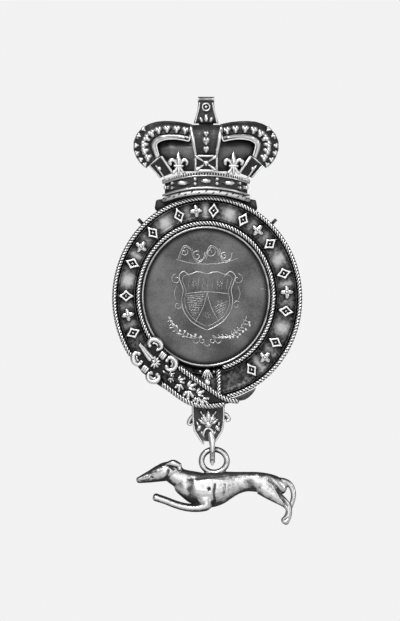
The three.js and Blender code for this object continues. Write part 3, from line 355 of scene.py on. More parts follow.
def silver(name, bright, dark, reach, low, high, roughness, cloud, pits=0.04, lift=2.0, patches=0.35):
    """Silver that is clean where it stands proud and open, and tarnished where it lies low.

    bright and dark are its tones, and reach is how far a hollow is felt. Tarnish starts to clear at low and
    is gone at high, on a scale where an open flat is 1 and each millimetre of relief adds lift. cloud and
    patches are the strength and the scale of its unevenness, and pits is how deep its fine dents are.
    """
    material, tree, shader = new_material(name)
    height = maths(tree, "ADD", openness(tree, reach), scaled(tree, mesh_value(tree, "relief"), lift))
    uneven = scaled(tree, noise_at(tree, patches), cloud, 0.5)
    clean = ramp(tree, maths(tree, "ADD", height, uneven), low, high)
    fine = noise_at(tree, 2.2, 4.0)
    colour = mix_colour(tree, clean, dark, bright)
    shade = mix_colour(tree, scaled(tree, fine, 0.35), colour, dark + 0.4 * (bright - dark))
    feed(tree, shader.inputs["Base Color"], shade)
    shader.inputs["Metallic"].default_value = 1.0
    tarnish = scaled(tree, maths(tree, "SUBTRACT", 1.0, clean), 0.3)
    rough = maths(tree, "ADD", tarnish, scaled(tree, fine, 0.14))
    feed(tree, shader.inputs["Roughness"], maths(tree, "ADD", rough, roughness - 0.05))
    add_bump(tree, shader, fine, 0.5, pits)
    return material


def satin_plate():
    """Flat satin silver with fine scratches, darker towards the edge where the collar shades it."""
    material, tree, shader = new_material("satin_plate")
    broad, fine = noise_at(tree, 0.12, 2.0), noise_at(tree, 3.0, 5.0)
    scratch = noise_at(tree, 1.2, 3.0, 0.6, stretch=(0.25, 1, 3.0))
    tone = maths(tree, "ADD", scaled(tree, broad, 0.5), scaled(tree, fine, 0.3))
    flat = mix_colour(tree, ramp(tree, tone, 0.28, 0.55), 0.075, 0.185)
    shade = ramp(tree, openness(tree, 1.6), 0.6, 1.0)
    feed(tree, shader.inputs["Base Color"], mix_colour(tree, shade, 0.01, flat))
    shader.inputs["Metallic"].default_value = 0.85
    feed(tree, shader.inputs["Roughness"], maths(tree, "ADD", scaled(tree, scratch, 0.2), 0.38))
    add_bump(tree, shader, scratch, 0.4, 0.02)
    return material


def strap_ground():
    """Tarnished ground of the strap. A mesh attribute paints lighter clouds on it, painted reflections of
    the hollow ground between the motifs.
    """
    material, tree, shader = new_material("strap_ground")
    fine = noise_at(tree, 1.3, 4.0)
    # Painted reflections from the mesh attribute, mixed with a fine random mottle.
    sheen_and_mottle = maths(tree, "ADD", mesh_value(tree, "painted_sheen"), scaled(tree, fine, 0.7, 0.5))
    clear = maths(tree, "MULTIPLY", openness(tree, 1.1), sheen_and_mottle)
    feed(tree, shader.inputs["Base Color"], mix_colour(tree, ramp(tree, clear, 0.1, 0.85), 0.012, 0.5))
    shader.inputs["Metallic"].default_value = 0.9
    feed(tree, shader.inputs["Roughness"], maths(tree, "ADD", scaled(tree, fine, 0.3), 0.32))
    add_bump(tree, shader, fine, 0.6, 0.08)
    return material


def plain_material(name, colour, roughness, metallic=0.0):
    material, tree, shader = new_material(name)
    feed(tree, shader.inputs["Base Color"], colour)
    shader.inputs["Roughness"].default_value = roughness
    shader.inputs["Metallic"].default_value = metallic
    return material


# Silver finishes. Columns: brightest tone, darkest tone, reach, low, high, roughness and cloud.
SILVERS = {
    "cast": silver("cast_silver", 0.92, 0.008, 1.3, 0.98, 1.5, 0.28, 0.4),
    "pearl": silver("pearl_silver", 0.95, 0.02, 0.7, 0.35, 0.8, 0.28, 0.2),
    "ermine": silver("ermine_silver", 0.95, 0.1, 0.8, 0.2, 0.7, 0.5, 0.4, pits=0.1),
    "bright": silver("bright_silver", 0.9, 0.03, 0.9, 0.5, 1.0, 0.2, 0.3),
    "bezel": silver("bezel_silver", 0.7, 0.01, 1.2, 0.6, 1.05, 0.3, 0.9),
    "shadowed": silver("shadowed_silver", 0.55, 0.008, 1.3, 1.08, 2.0, 0.4, 0.4),
    # The cap's very dark tone is painted shade, for the deep hollow between the arches.
    "cap": silver("shaded_cap_silver", 0.15, 0.012, 3.5, 0.3, 1.0, 0.4, 0.5),
    "dark": silver("dark_silver", 0.11, 0.012, 1.5, 0.6, 1.3, 0.4, 0.6),
    "rope": silver("rope_silver", 0.95, 0.006, 0.4, 0.6, 1.0, 0.25, 0.3, lift=1.0),
    "hound": silver(
        "hound_silver", 0.8, 0.02, 2.4, 0.42, 1.05, 0.27, 1.1, pits=0.03, lift=1.1, patches=0.75,
    ),
    "back": silver("back_silver", 0.5, 0.1, 1.5, 0.3, 1.0, 0.35, 0.5, pits=0.03),
    "line": silver("engraved_line", 0.68, 0.17, 0.3, 0.35, 1.1, 0.35, 1.8),
}
MATERIALS = SILVERS | {
    "plate": satin_plate(),
    "ground": strap_ground(),
    "shadow": plain_material("deep_tarnish", 0.008, 0.6, 0.6),
}


# Castings refined from the frame's solids: remeshed finely, softened as worn cast metal is, and dressed.

# How far a point's relief is judged over its surroundings.
RELIEF_SCALE = 0.9


def softened_mesh(holder, smoothing, passes):
    smoothing.iterations = passes
    depsgraph = bpy.context.evaluated_depsgraph_get()
    depsgraph.update()
    return bpy.data.meshes.new_from_object(holder.evaluated_get(depsgraph))


def vertex_values(mesh, what):
    values = np.zeros(len(mesh.vertices) * 3)
    mesh.vertices.foreach_get(what, values)
    return values.reshape(-1, 3)


def cast_texture(points, normals, depth):
    """Points moved out and in by the soft unevenness of cast metal."""
    bumps = [noise.noise(Vector(point * 0.9)) + 0.5 * noise.noise(Vector(point * 2.3)) for point in points]
    return points + normals * (depth * np.array(bumps))[:, None]


def refine(name, piece, finish, voxel, passes, texture, body=BADGE, source=None, sculpt=None, shade=None):
    """A fine, softened copy of a solid. Its relief attribute is the height over its own blurred shape.

    source is a finer mesh to take in place of the solid's, sculpt says how far points sink, and shade how
    much relief is taken off to paint shade there, so that those places come out darker.
    """
    holder = bpy.data.objects.new(piece + "_source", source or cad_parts[name].data.copy())
    bpy.context.scene.collection.objects.link(holder)
    holder.data.materials.clear()
    holder.data.materials.append(MATERIALS[finish])
    remesh = holder.modifiers.new("remesh", "REMESH")
    remesh.mode = "VOXEL"
    remesh.voxel_size = voxel * MM
    smoothing = holder.modifiers.new("soften", "SMOOTH")
    smoothing.factor = 0.5
    mesh = softened_mesh(holder, smoothing, passes)
    blurred = softened_mesh(holder, smoothing, int(2 * (RELIEF_SCALE / voxel) ** 2))
    bpy.data.objects.remove(holder)

    points = vertex_values(mesh, "co") / MM
    normals = vertex_values(mesh, "normal")
    if sculpt:
        points = points + normals * sculpt(points - STRAP_CENTRE, normals)[:, None]
    relief = np.sum((points - vertex_values(blurred, "co") / MM) * normals, axis=1)
    bpy.data.meshes.remove(blurred)
    # Painted shade: relief taken off here makes those places darker in the finish.
    if shade:
        relief -= shade(normals)
    set_values(mesh, "relief", relief)
    mesh.vertices.foreach_set("co", (cast_texture(points, normals, texture) * MM).ravel())
    mesh.update()
    mesh.shade_smooth()
    made = bpy.data.objects.new(piece, mesh)
    bpy.context.scene.collection.objects.link(made)
    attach(made, body)
    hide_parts(name)


def stroke_cut(points, path, width, depth):
    """How far points sink under a stroke along an [x, z] path."""
    nearest = np.full(len(points), np.inf)
    flat = points[:, [0, 2]]
    for a, b in zip(path[:-1], path[1:]):
        a, b = np.asarray(a, float), np.asarray(b, float)
        share = np.clip(((flat - a) @ (b - a)) / ((b - a) @ (b - a)), 0, 1)
        nearest = np.minimum(nearest, np.linalg.norm(flat - (a + share[:, None] * (b - a)), axis=1))
    return -depth * np.exp(-((nearest / width) ** 2))


# Columns: node, piece, finish, voxel, softening passes and depth of the cast texture.
CASTINGS = (
    ("crown_arch_left", "cast_arch_left", "cast", 0.13, 2, 0.02),
    ("crown_arch_right", "cast_arch_right", "cast", 0.13, 2, 0.02),
    ("crown_arch_front", "cast_arch_front", "cast", 0.12, 2, 0.02),
    # The cap takes the painted-shade finish.
    ("crown_cap", "cast_cap", "cap", 0.18, 25, 0.02),
    ("crown_circlet", "cast_circlet", "cast", 0.13, 2, 0.02),
    ("ermine_rim", "cast_rim", "ermine", 0.13, 6, 0.02),
    ("crown_bracket", "cast_bracket", "dark", 0.2, 60, 0.05),
    ("front_cross", "cast_cross", "shadowed", 0.1, 2, 0.02),
    ("side_cross_left", "cast_side_cross_left", "shadowed", 0.12, 2, 0.02),
    ("side_cross_right", "cast_side_cross_right", "shadowed", 0.12, 2, 0.02),
    ("suspension_loop", "cast_loop", "cast", 0.12, 2, 0.02),
    ("buckle_frame", "cast_buckle", "shadowed", 0.14, 3, 0.02),
    ("strap_tail", "cast_tail", "shadowed", 0.12, 2, 0.02),
    ("hanger", "cast_hanger", "cast", 0.12, 2, 0.02),
    ("strap_fold", "cast_fold", "dark", 0.15, 12, 0.06),
)


# Strap: a fine ring with two rounded lips, its raised motifs, and the leaf at its foot.

# A lip of the strap, from its outer foot over its crest to the floor: distance from its edge, and y.
LIP = (
    (0, -STRAP.seat),
    (0, 0.08 - STRAP.depth),
    (0.07, -STRAP.depth),
    (0.19, -STRAP.depth),
    (0.27, 0.1 - STRAP.depth),
    (0.36, -STRAP.floor),
)


def strap_section(turn):
    """Points round the strap's section at a turn. The floor is slightly rippled."""
    inner = BEZEL_WALL / 2 + GAP
    section = [from_opening(turn, inner), from_outer(turn, 0.25), from_outer(turn, 0.25, -STRAP.seat)]
    section += [from_outer(turn, OUTER_LIP + inset, y) for inset, y in LIP]
    for spot in (0.75, 0.5, 0.3):
        ripple = 0.03 * math.sin(7 * turn + 5 * spot)
        section.append(on_strap(turn, 0.18 + 0.64 * spot, ripple - STRAP.floor))
    section += [from_opening(turn, INNER_LIP + inset, y) for inset, y in LIP[::-1]]
    section.append(from_opening(turn, inner, -STRAP.seat))
    return section


def strap_body():
    points, faces = loft([strap_section(turn) for turn in circle(288)], joined=True)
    strap = make_object("strap_body", points, faces, "ground")
    # Painted reflections on the ground, as lighter clouds.
    set_values(strap.data, "painted_sheen", painted_sheen_patches(np.array(points)))
    return strap


# Raised motifs in groups of three, with turns in degrees. Two lozenges flank each rosette.
MOTIF = Sizes(height=4.3, width=3.2, first=-114.0, pitch=12.5, groups=6, group_pitch=47.0, place=0.54)


def motif_turns():
    """Every motif's turn in degrees, with its place in its group."""
    return [(MOTIF.first + group * MOTIF.group_pitch + place_in * MOTIF.pitch, place_in)
            for group in range(MOTIF.groups) for place_in in range(3)]


def painted_sheen_patches(points):
    """Painted reflections: lighter clouds on the ground where nothing stands over it, strongest in the wide
    gaps.
    """
    turns = np.degrees(np.arctan2(points[:, 0] / STRAP.half_width, points[:, 2] / STRAP.half_height))
    spots = [turn for turn, _ in motif_turns()]
    painted_sheen = np.zeros(len(points))
    for near, far in zip(spots[:-1], spots[1:]):
        wide = far - near > MOTIF.pitch + 1
        middle = (near + far) / 2
        offset = (turns - middle + 180) % 360 - 180
        strength = 0.62 if wide else 0.32 + 0.2 * math.sin(3.7 * middle)
        painted_sheen += strength * np.exp(-((offset / (4.0 if wide else 1.8)) ** 2))
    centre = np.array([on_strap(math.radians(turn), MOTIF.place) for turn in turns])
    off = np.linalg.norm((points - centre)[:, [0, 2]], axis=1)
    return 0.26 + painted_sheen * np.exp(-((off / 1.9) ** 2))


def raised(builder, outline, base, front, bevel, hole=None):
    """A plate with bevelled edges round the origin, from [x, z] points, with an optional hole."""
    def loop(shape, shrink, y):
        reach = np.linalg.norm(shape, axis=1)[:, None]
        inner = shape * (1 - shrink / np.maximum(reach, 1e-6))
        return np.stack([inner[:, 0], np.full(len(shape), y), inner[:, 1]], axis=1)

    edge = [(0, base), (0, front + bevel), (0.35 * bevel, front + 0.3 * bevel), (bevel, front)]
    rings = [loop(outline, shrink, y) for shrink, y in edge]
    if hole is not None:
        rings += [loop(hole, -shrink, y) for shrink, y in edge[::-1]]
    builder.add(*loft(rings, joined=hole is not None))


def lozenge_motif(builder):
    corners = [(MOTIF.width / 2, 0), (0, MOTIF.height / 2), (-MOTIF.width / 2, 0), (0, -MOTIF.height / 2)]
    corners = np.array(corners + corners[:1])
    shares = np.arange(5)[:, None] / 5
    bow = 1 - 0.1 * np.sin(shares * math.pi) ** 2
    edge = np.concatenate([(a + (b - a) * shares) * bow for a, b in zip(corners, corners[1:])])
    raised(builder, edge, -STRAP.floor + 0.1, -2.36, 0.12, hole=0.56 * edge)
    builder.dome([0, -STRAP.floor - 0.12, 0], [0.42, 0.5, 0.42])


def rosette_motif(builder):
    turns = circle(48)
    reach = MOTIF.height / 2 * (0.64 + 0.22 * np.cos(4 * turns))
    outline = np.stack([reach * np.sin(turns), reach * np.cos(turns)], axis=1)
    raised(builder, outline, -STRAP.floor + 0.1, -2.2, 0.3)
    builder.dome([0, -2.3, 0], [0.46, 0.42, 0.46])


def strap_motifs():
    builder = Builder()
    for turn, place_in in motif_turns():
        single = Builder()
        if place_in == 1:
            rosette_motif(single)
        else:
            lozenge_motif(single)
        angle = math.radians(turn)
        builder.add(single.points @ turn_matrix(angle).T + on_strap(angle, MOTIF.place), single.faces)
    return builder.make("strap_motifs", "bright")


def leaf_drop():
    """Five leaves over a round drop, with a bead on either side."""
    builder = Builder()
    top = opening_edge(math.pi)[2] - BEZEL_WALL / 2 - GAP - 0.1
    base = -STRAP.floor + 0.05
    leaves = [(-0.95, 1.56, 0.5, 1.5), (0.95, 1.56, -0.5, 1.5), (0, 1.872, 0, 1.8)]
    leaves += [(-0.5, 1.664, 0.25, 1.7), (0.5, 1.664, -0.25, 1.7)]
    for x, down, tilt, tall in leaves:
        builder.dome([x, base, top - down], [0.34, 0.72, tall], tilt=tilt)
    builder.dome([0, base, top - 3.952], [1.05, 0.88, 1.22])
    for x, down in ((-1.9, 0.9), (1.9, 1.0)):
        builder.dome([x, -STRAP.floor, top - down], [0.42, 0.4, 0.42])
    return builder.make("leaf_drop", "pearl")


def strap_pieces():
    for made in (strap_body(), strap_motifs(), leaf_drop()):
        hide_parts("belt_frame")


# Twisted ropes. The tail's rows are shares of the strap's half-width and half-height, and the end rope's
# are a turn in degrees and a share of the strap's breadth.
TAIL_LOWER = (
    (-0.475, -0.83), (-0.39, -0.89), (-0.285, -0.962), (-0.181, -1.017),
    (-0.076, -1.042), (0.05, -1.048), (0.19, -1.03),
)
TAIL_UPPER = (
    (-0.3, -0.668), (-0.233, -0.714), (-0.139, -0.78), (0.008, -0.875),
    (0.127, -0.949), (0.229, -0.99), (0.335, -1.004),
)
END_ROPE = ((169.4, 0.14), (170.9, 0.48), (172.3, 0.82))


def arc(first, last, point_at):
    return [point_at(math.radians(turn)) for turn in np.linspace(first, last, 60)]


def on_tail(rows):
    return [(across * STRAP.half_width, -3.3, rise * STRAP.half_height) for across, rise in rows]


def ropes():
    end_y = -(STRAP.floor + GAP + ROPE.radius)
    routes = {
        "outer_rope": (0.65, arc(-125, 168, lambda turn: from_outer(turn, ROPE.radius, -ROPE_CENTRE))),
        "inner_rope": (0.65, arc(-128, 166, lambda turn: from_opening(turn, INNER_ROPE, -ROPE_CENTRE))),
        "end_rope": (0.68, [on_strap(math.radians(turn), share, end_y) for turn, share in END_ROPE]),
        "tail_rope_lower": (0.75, on_tail(TAIL_LOWER)),
        "tail_rope_upper": (0.75, on_tail(TAIL_UPPER)),
    }
    for name, (radius, route) in routes.items():
        points, faces, relief = twisted_rope(route, radius)
        made = make_object("twisted_" + name, points, faces, "rope")
        set_values(made.data, "relief", relief)
        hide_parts(name)


def bezel():
    half, back, front = BEZEL_WALL / 2, -0.2, -2.3
    side = [(1, back), (1, front + 0.3), (0.7, front + 0.1)]
    section = [(-1, back), *side, (0, front), (-0.7, front + 0.1), (-1, front + 0.3)]
    rings = [[from_opening(turn, share * half, y) for share, y in section] for turn in circle(240)]
    made = make_object("bright_bezel", *loft(rings, joined=True), "bezel")
    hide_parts("bezel")


# Engraving on the plate: generic flourishes above and a plain cartouche with simple divisions below.

PLATE_FRONT = -0.85


def engrave(builder, path, width):
    """A line on the plate along an [x, z] path, thinner at both ends."""
    path = resample([(x, PLATE_FRONT, z) for x, z in path], 0.22)
    ends = np.minimum(np.arange(len(path)), np.arange(len(path))[::-1])
    builder.tube(path, width * np.minimum(1, 0.35 + 0.25 * ends), sides=6, flat=0.5, round_ends=False)


def spiral(x, z, size, turns, start):
    points = []
    for share in np.linspace(0, 1, 15):
        reach, turn = size * (1 - 0.85 * share), start + turns * FULL_TURN * share
        points.append((x + reach * math.sin(turn), z + reach * math.cos(turn)))
    return points


def flourish(builder):
    """A band of running scrolls, where the upper part of the plate is engraved."""
    for x, size, up in ((-6.2, 1.054, 1), (-2.8, 1.426, -1), (0.9, 1.426, 1), (4.6, 1.054, -1)):
        engrave(builder, spiral(x, 12.0 + 0.5 * up, size, 1.3 * up, 0.6), 0.15)
        sweep = [(-1.7, -1.5), (-0.3, 2.0), (1.5, 1.7), (2.2, -0.6)]
        engrave(builder, [(x + across, 12.0 + rise * up) for across, rise in sweep], 0.14)
        echo = [(-1.3, -1.7), (0, 1.7), (1.9, 1.2)]
        engrave(builder, [(x + across, 12.0 + rise * up) for across, rise in echo], 0.09)
    engrave(builder, [(-8.6, 10.6), (-4.5, 9.6), (0, 9.3), (4.6, 9.7), (8.4, 10.9)], 0.08)


# Right half of the cartouche's outline, from its top to its point.
CARTOUCHE = (
    (0, 6.6), (2.6, 7.2), (4.9, 6.5), (6.3, 7.3), (7.6, 6.2), (7.2, 4.4),
    (6.5, 2.2), (6.9, -0.4), (6.4, -3.2), (4.6, -5.9), (2.2, -7.6), (0, -8.6),
)
FLOWERS = ((-3.6, -1.4), (3.6, -1.4), (0, -4.6), (-3.4, 3.9), (0, 4.1), (3.4, 3.9))


def cartouche(builder):
    for side in (-1, 1):
        engrave(builder, [(side * x, z) for x, z in CARTOUCHE], 0.17)
        engrave(builder, [(side * x * 0.88, z * 0.88) for x, z in CARTOUCHE[2:]], 0.08)
        engrave(builder, spiral(side * 8.3, 5.2, 1.5, 1.2 * side, 0), 0.11)
        engrave(builder, spiral(side * 8.0, -1.8, 1.2, -1.1 * side, 1.0), 0.09)
        engrave(builder, [(side * 8.2, 3.6), (side * 8.9, 1.4), (side * 8.4, -0.6)], 0.09)
        engrave(builder, [(side * 3.4, -6.6), (side * 1.2, -2.6), (0, 1.5)], 0.1)
    engrave(builder, [(-6.2, 1.2), (-2, 1.7), (2, 1.7), (6.2, 1.2)], 0.09)
    for x in np.linspace(-5.2, 5.2, 9):
        engrave(builder, [(x, 2.3), (x + 0.35, 5.6)], 0.05)
    for x, z in FLOWERS:
        for turn in circle(6):
            near = (x + 0.25 * math.sin(turn), z + 0.25 * math.cos(turn))
            far = (x + 0.95 * math.sin(turn + 0.3), z + 0.95 * math.cos(turn + 0.3))
            engrave(builder, [near, far], 0.12)


# Hatched areas of the cartouche: a left and a right line of [x, z] points.
HATCHED_LEFT = (((-5.9, 1.0), (-5.2, -2.6), (-3.6, -5.6)), ((-0.4, 1.4), (-1.4, -2.4), (-3.3, -5.9)))
HATCHED_RIGHT = (((1.6, -2.0), (3.4, -5.8)), ((5.8, -0.8), (4.0, -5.4)))


def hatch(builder, left, right, pitch, lean):
    """Fine parallel cuts that shade the area between a left and a right line of points."""
    left, right = np.asarray(left, float), np.asarray(right, float)
    count = int(abs(left[-1][1] - left[0][1]) / pitch)
    for spot in np.linspace(0.04, 0.96, count) * (len(left) - 1):
        (x0, z0), (x1, z1) = ([np.interp(spot, range(len(line)), line[:, axis]) for axis in (0, 1)]
                              for line in (left, right))
        engrave(builder, [(x0, z0 - lean), (x1, z1 + lean)], 0.05)


def sprays(builder):
    """Leafy sprays either side of the foot of the cartouche."""
    rng = np.random.default_rng(7)
    for side in (-1, 1):
        stem = [(side * 1.5, -10.6), (side * 5.0, -10.6), (side * 8.6, -8.4), (side * 10.6, -5.0)]
        engrave(builder, stem, 0.09)
        for x, z in resample([(x, 0, z) for x, z in stem], 1.0)[1:-1, [0, 2]]:
            for spin in (-1, 1):
                angle = math.atan2(x, -z) + spin + rng.uniform(-0.3, 0.3)
                size = rng.uniform(1.0, 1.7)
                tip = (x + size * math.sin(angle), z + size * math.cos(angle) * 0.8)
                engrave(builder, [(x, z), ((x + tip[0]) / 2 + 0.15, (z + tip[1]) / 2), tip], 0.2)
                if spin > 0:
                    builder.dome([tip[0] * 1.03, PLATE_FRONT, tip[1] * 1.03], [0.42, 0.08, 0.42], 6, 8)
        engrave(builder, spiral(side * 1.3, -11.4, 1.0, 1.2 * side, 0), 0.11)
    for x, z in ((-3.0, -11.9), (3.0, -11.9), (0, -12.7)):
        engrave(builder, [(x - 0.9, z + 0.4), (x, z - 0.25), (x + 0.9, z + 0.4)], 0.12)


def engraving():
    builder = Builder()
    flourish(builder)
    cartouche(builder)
    hatch(builder, *HATCHED_LEFT, 0.42, 0)
    hatch(builder, *HATCHED_RIGHT, 0.5, 0.3)
    sprays(builder)
    engrave(builder, [(14.2, 2.6), (16.0, 2.5)], 0.06)
    builder.make("plate_engraving", "line")


# Crown dressing. The crown's own places are measured from the top of the strap, on the crown's middle line.

CROWN = Sizes(shift_x=-0.3, half_width=19.6, height=20.3, bow=2.0)
RIM = Sizes(half_width=12.1, depth=6.0)
CIRCLET = Sizes(half_width=11.4, depth=5.5, base=1.9, height=4.4)
ARCH = Sizes(half_width=3.0, top_depth=6.5, lobe_depth=4.0, foot_depth=3.2)
LOOP = Sizes(front=-4.6, foot=19.7, top=24.9, rivet=23.9)


def in_crown(x, y, z):
    return np.array([CROWN.shift_x + x, y, STRAP.half_height + z])


def on_crown(plan, half_width, depth, rise):
    """A point on a half round of the crown, which dips at its sides, by its turn in plan from the front."""
    dip = CROWN.bow * math.sin(plan) ** 2
    return in_crown(half_width * math.sin(plan), -depth * math.cos(plan), rise - dip)


def on_circlet(plan, lift, share):
    """A point so far out from the circlet, at a share of its height."""
    rise = CIRCLET.base + share * CIRCLET.height
    return on_crown(plan, CIRCLET.half_width + lift, CIRCLET.depth + lift, rise)


# Side arches as the frame has them. Columns: distance from the crown's middle and rise as shares of its
# half-width and height, half-width as a share of the arch's, and how far its front has moved from its depth
# at the top to that at the lobe, and from there to that at the foot.
ARCH_ROWS = np.array([
    (0.215, 0.847, 0.75, 0, 0),
    (0.357, 0.877, 0.75, 0.25, 0),
    (0.525, 0.887, 0.78, 0.6, 0),
    (0.673, 0.867, 0.85, 0.85, 0),
    (0.786, 0.808, 0.93, 1, 0),
    (0.847, 0.714, 1, 1, 0.1),
    (0.842, 0.611, 1, 1, 0.4),
    (0.786, 0.502, 0.9, 1, 0.8),
    (0.74, 0.45, 0.75, 1, 1),
])


def arch_row(place):
    spot = np.clip(place, 0, 1) * (len(ARCH_ROWS) - 1)
    return [np.interp(spot, range(len(ARCH_ROWS)), column) for column in ARCH_ROWS.T]


def arch_place(side, place, across, forward):
    """A point on a side arch and the direction that leads outward from the crown there."""
    x, rise, width, lobe, foot = arch_row(place)
    before, after = arch_row(place - 0.03), arch_row(place + 0.03)
    run = (after[0] - before[0]) * CROWN.half_width
    climb = (after[1] - before[1]) * CROWN.height
    out = np.array([-side * climb, 0, run]) / math.hypot(run, climb)
    front = ARCH.top_depth + (ARCH.lobe_depth - ARCH.top_depth) * lobe
    front += (ARCH.foot_depth - front) * foot
    at = in_crown(side * x * CROWN.half_width, -front * forward, rise * CROWN.height)
    return at + out * across * width * ARCH.half_width, out


def heart_pearl(builder, centre, out, size):
    """A pearl cut as a heart that points towards the crown's middle, as cast crown pearls often are."""
    across = np.array([out[2], 0, -out[0]])
    for sign in (-1, 1):
        lobe = centre + size * (0.26 * out + sign * 0.36 * across)
        builder.dome(lobe, [0.55 * size, 0.62 * size, 0.6 * size], 8, 14)
    builder.dome(centre - 0.22 * size * out, [0.5 * size, 0.6 * size, 0.82 * size], 8, 14, tilt_of(out))


# Rows of pearls on each side arch. Columns: count, first place, step, place across, forward share and size.
ARCH_PEARLS = ((9, 0.06, 0.1, 0.02, 0.9, 1.2), (6, 0.5, 0.085, 0.76, 0.7, 0.78))

# Pearls down the front arch. Columns: y, z and size.
FRONT_PEARLS = ((-7.5, 16.508, 0.9), (-7.9, 14.645, 1.15), (-7.34, 12.458, 0.95))

# Rails down both sides of the front arch.
FRONT_RAIL = ((2.85, -6.75, 11.2), (3.25, -7.8, 13.4), (3.7, -7.9, 16.0), (4.05, -7.0, 18.0))


def crown_pearls():
    builder = Builder()
    for side in (-1, 1):
        for count, first, step, across, forward, size in ARCH_PEARLS:
            for i in range(count):
                heart_pearl(builder, *arch_place(side, first + step * i, across, forward), size)
    for y, z, size in FRONT_PEARLS:
        heart_pearl(builder, in_crown(0, y, z), UP, size)
    builder.make("crown_pearls", "pearl")


def arch_lips():
    """Bright lips round the openings of the crown and rails down both sides of its front arch."""
    builder = Builder()
    for side in (-1, 1):
        lip = [arch_place(side, place, -0.84, 0.99)[0] for place in np.linspace(0.06, 0.97, 14)]
        lip = resample(lip, 0.4)
        builder.tube(lip, swell(lip, (0.36, 0.64, 0.42)), 10, 0.6)
        rail = resample([in_crown(side * x, y, z) for x, y, z in FRONT_RAIL], 0.4)
        builder.tube(rail, swell(rail, (0.36, 0.55, 0.5), (0, 0.6, 1)), 10, 0.7)
    builder.make("arch_lips", "pearl")


def mirrored(rows):
    """Each row on both sides, led by its side. A row that starts with 0 is in the middle and comes once."""
    return [(side, *row) for side in (-1, 1) for row in rows if row[0] or side > 0]


# Stones of the circlet. Columns: turn in degrees, half-width, half-height and height over the middle.
STONES = (
    (0, 1.35, 0.62, 0),
    (32, 1.75, 0.62, 0),
    (68, 1.3, 0.62, 0),
    (14.5, 0.55, 0.48, -0.62),
    (14.5, 0.55, 0.48, 0.62),
    (51, 0.55, 0.48, -0.62),
    (51, 0.55, 0.48, 0.62),
)


def circlet_stones():
    """Bright stones and paired beads round the circlet, over the plain cast ones, between two bands."""
    builder = Builder()
    for side, turn, half_width, half_height, over in mirrored(STONES):
        plan = side * math.radians(turn)
        centre = on_circlet(plan, 0.45, 0.47) + over * UP
        builder.dome(centre, [max(half_width * math.cos(plan), 0.3), 0.5, half_height])
    for share, radius in ((0.06, 0.3), (0.8, 0.22)):
        builder.tube([on_circlet(plan, 0.3, share) for plan in np.linspace(-1.45, 1.45, 60)], radius, 10)
    builder.make("circlet_stones", "pearl")


def beaded_rail():
    builder = Builder()
    for plan in np.radians(np.linspace(-84, 84, 47)):
        builder.dome(on_circlet(plan, 0.4, 0.9) + 0.1 * UP, [0.21, 0.34, 0.5], rows=6, sides=10)
    builder.make("beaded_rail", "pearl")


def ermine_spots():
    builder = Builder()
    for i, plan in enumerate(np.radians(np.linspace(-74, 74, 17))):
        centre = on_crown(plan, RIM.half_width - 0.12, RIM.depth - 0.12, 0.98 + 0.22 * (-1) ** i)
        builder.dome(centre, [0.15, 0.28, 0.5], rows=6, sides=8, tilt=0.95)
    builder.make("ermine_spots", "shadow")


# Bars of the crosses at the crown's sides: path as shares of its half-width and height, and radius.
SIDE_CROSS = (
    (((0.606, 0.51), (0.461, 0.31)), 0.45),
    (((0.775, 0.4), (0.72, 0.34), (0.635, 0.25)), 0.2),
    (((0.69, 0.4), (0.575, 0.24)), 0.2),
)
FRONT_CROSS = Sizes(half=np.array([2.85, 0, 1.95]), y=-6.95, z=8.65)


def side_cross(builder, side):
    def place(x, y, z):
        return in_crown(side * x * CROWN.half_width, y, z * CROWN.height)

    for path, radius in SIDE_CROSS:
        builder.tube([place(x, -3.35, z) for x, z in path], radius, 10)
    builder.dome(place(0.645, -3.3, 0.36), [0.62, 0.5, 0.62])


def front_cross(builder):
    """A border round the cross, an arm towards each corner, and a heart in the middle."""
    middle = in_crown(0, FRONT_CROSS.y, FRONT_CROSS.z)
    corners = [FRONT_CROSS.half * (x, 0, z) for x, z in ((-1, -1), (-1, 1), (1, 1), (1, -1))]
    for near, far in zip(corners, corners[1:] + corners[:1]):
        builder.tube([middle + near, middle + far], 0.32, 8)
        arm = 0.86 * near - 0.35 * BACKWARD
        builder.tube([middle + share * arm for share in (0.28, 0.65, 1)], [0.2, 0.34, 0.5], 8)
    heart_pearl(builder, middle - 0.3 * BACKWARD, UP, 0.85)


def cross_rails():
    builder = Builder()
    for side in (-1, 1):
        side_cross(builder, side)
    front_cross(builder)
    builder.make("cross_rails", "pearl")


# The lily's parts over its base: middle petal as [y, z], and a curled petal and a short leaf as [x, z].
LILY_MIDDLE = ((0, 2.2), (-0.1, 3.6), (0, 5.0), (0.1, 5.9))
LILY_PETAL = ((0.35, 2.3), (0.95, 3.5), (1.75, 3.95), (2.4, 3.35), (2.2, 2.75))
LILY_LEAF = ((0.4, 1.9), (0.9, 1.0), (1.5, 0.35))


def lily(side, name):
    """A lily flower: a tall middle petal, two that curl out and down, a band and three short leaves."""
    base = in_crown(side * 7.4, -4.4, 5.76)
    builder = Builder()
    builder.tube([base + [0, y, z] for y, z in LILY_MIDDLE], [0.45, 0.78, 0.6, 0.15], 12, 0.75)
    for way in (-1, 1):
        petal = resample([base + [way * x, 0, z] for x, z in LILY_PETAL], 0.3)
        builder.tube(petal, swell(petal, (0.34, 0.5, 0.56, 0.4), (0, 0.5, 0.8, 1)), 12, 0.8)
        builder.tube(resample([base + [way * x, 0, z] for x, z in LILY_LEAF], 0.3), 0.42, 12, 0.8)
    builder.tube([base + [0, 0, 1.9], base + [0, 0, 0.3]], 0.42, 12, 0.9)
    builder.tube([base + [-1.05, -0.2, 2.25], base + [1.05, -0.2, 2.25]], 0.34, 12, 0.9)
    made = builder.make("lily_" + name, "pearl")
    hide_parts("fleur_" + name)


# A border of the suspension loop: distance from the middle, and share of the way from foot to top.
LOOP_BORDER = ((2.95, 0), (2.5, 0.35), (2.0, 0.72), (1.8, 1))


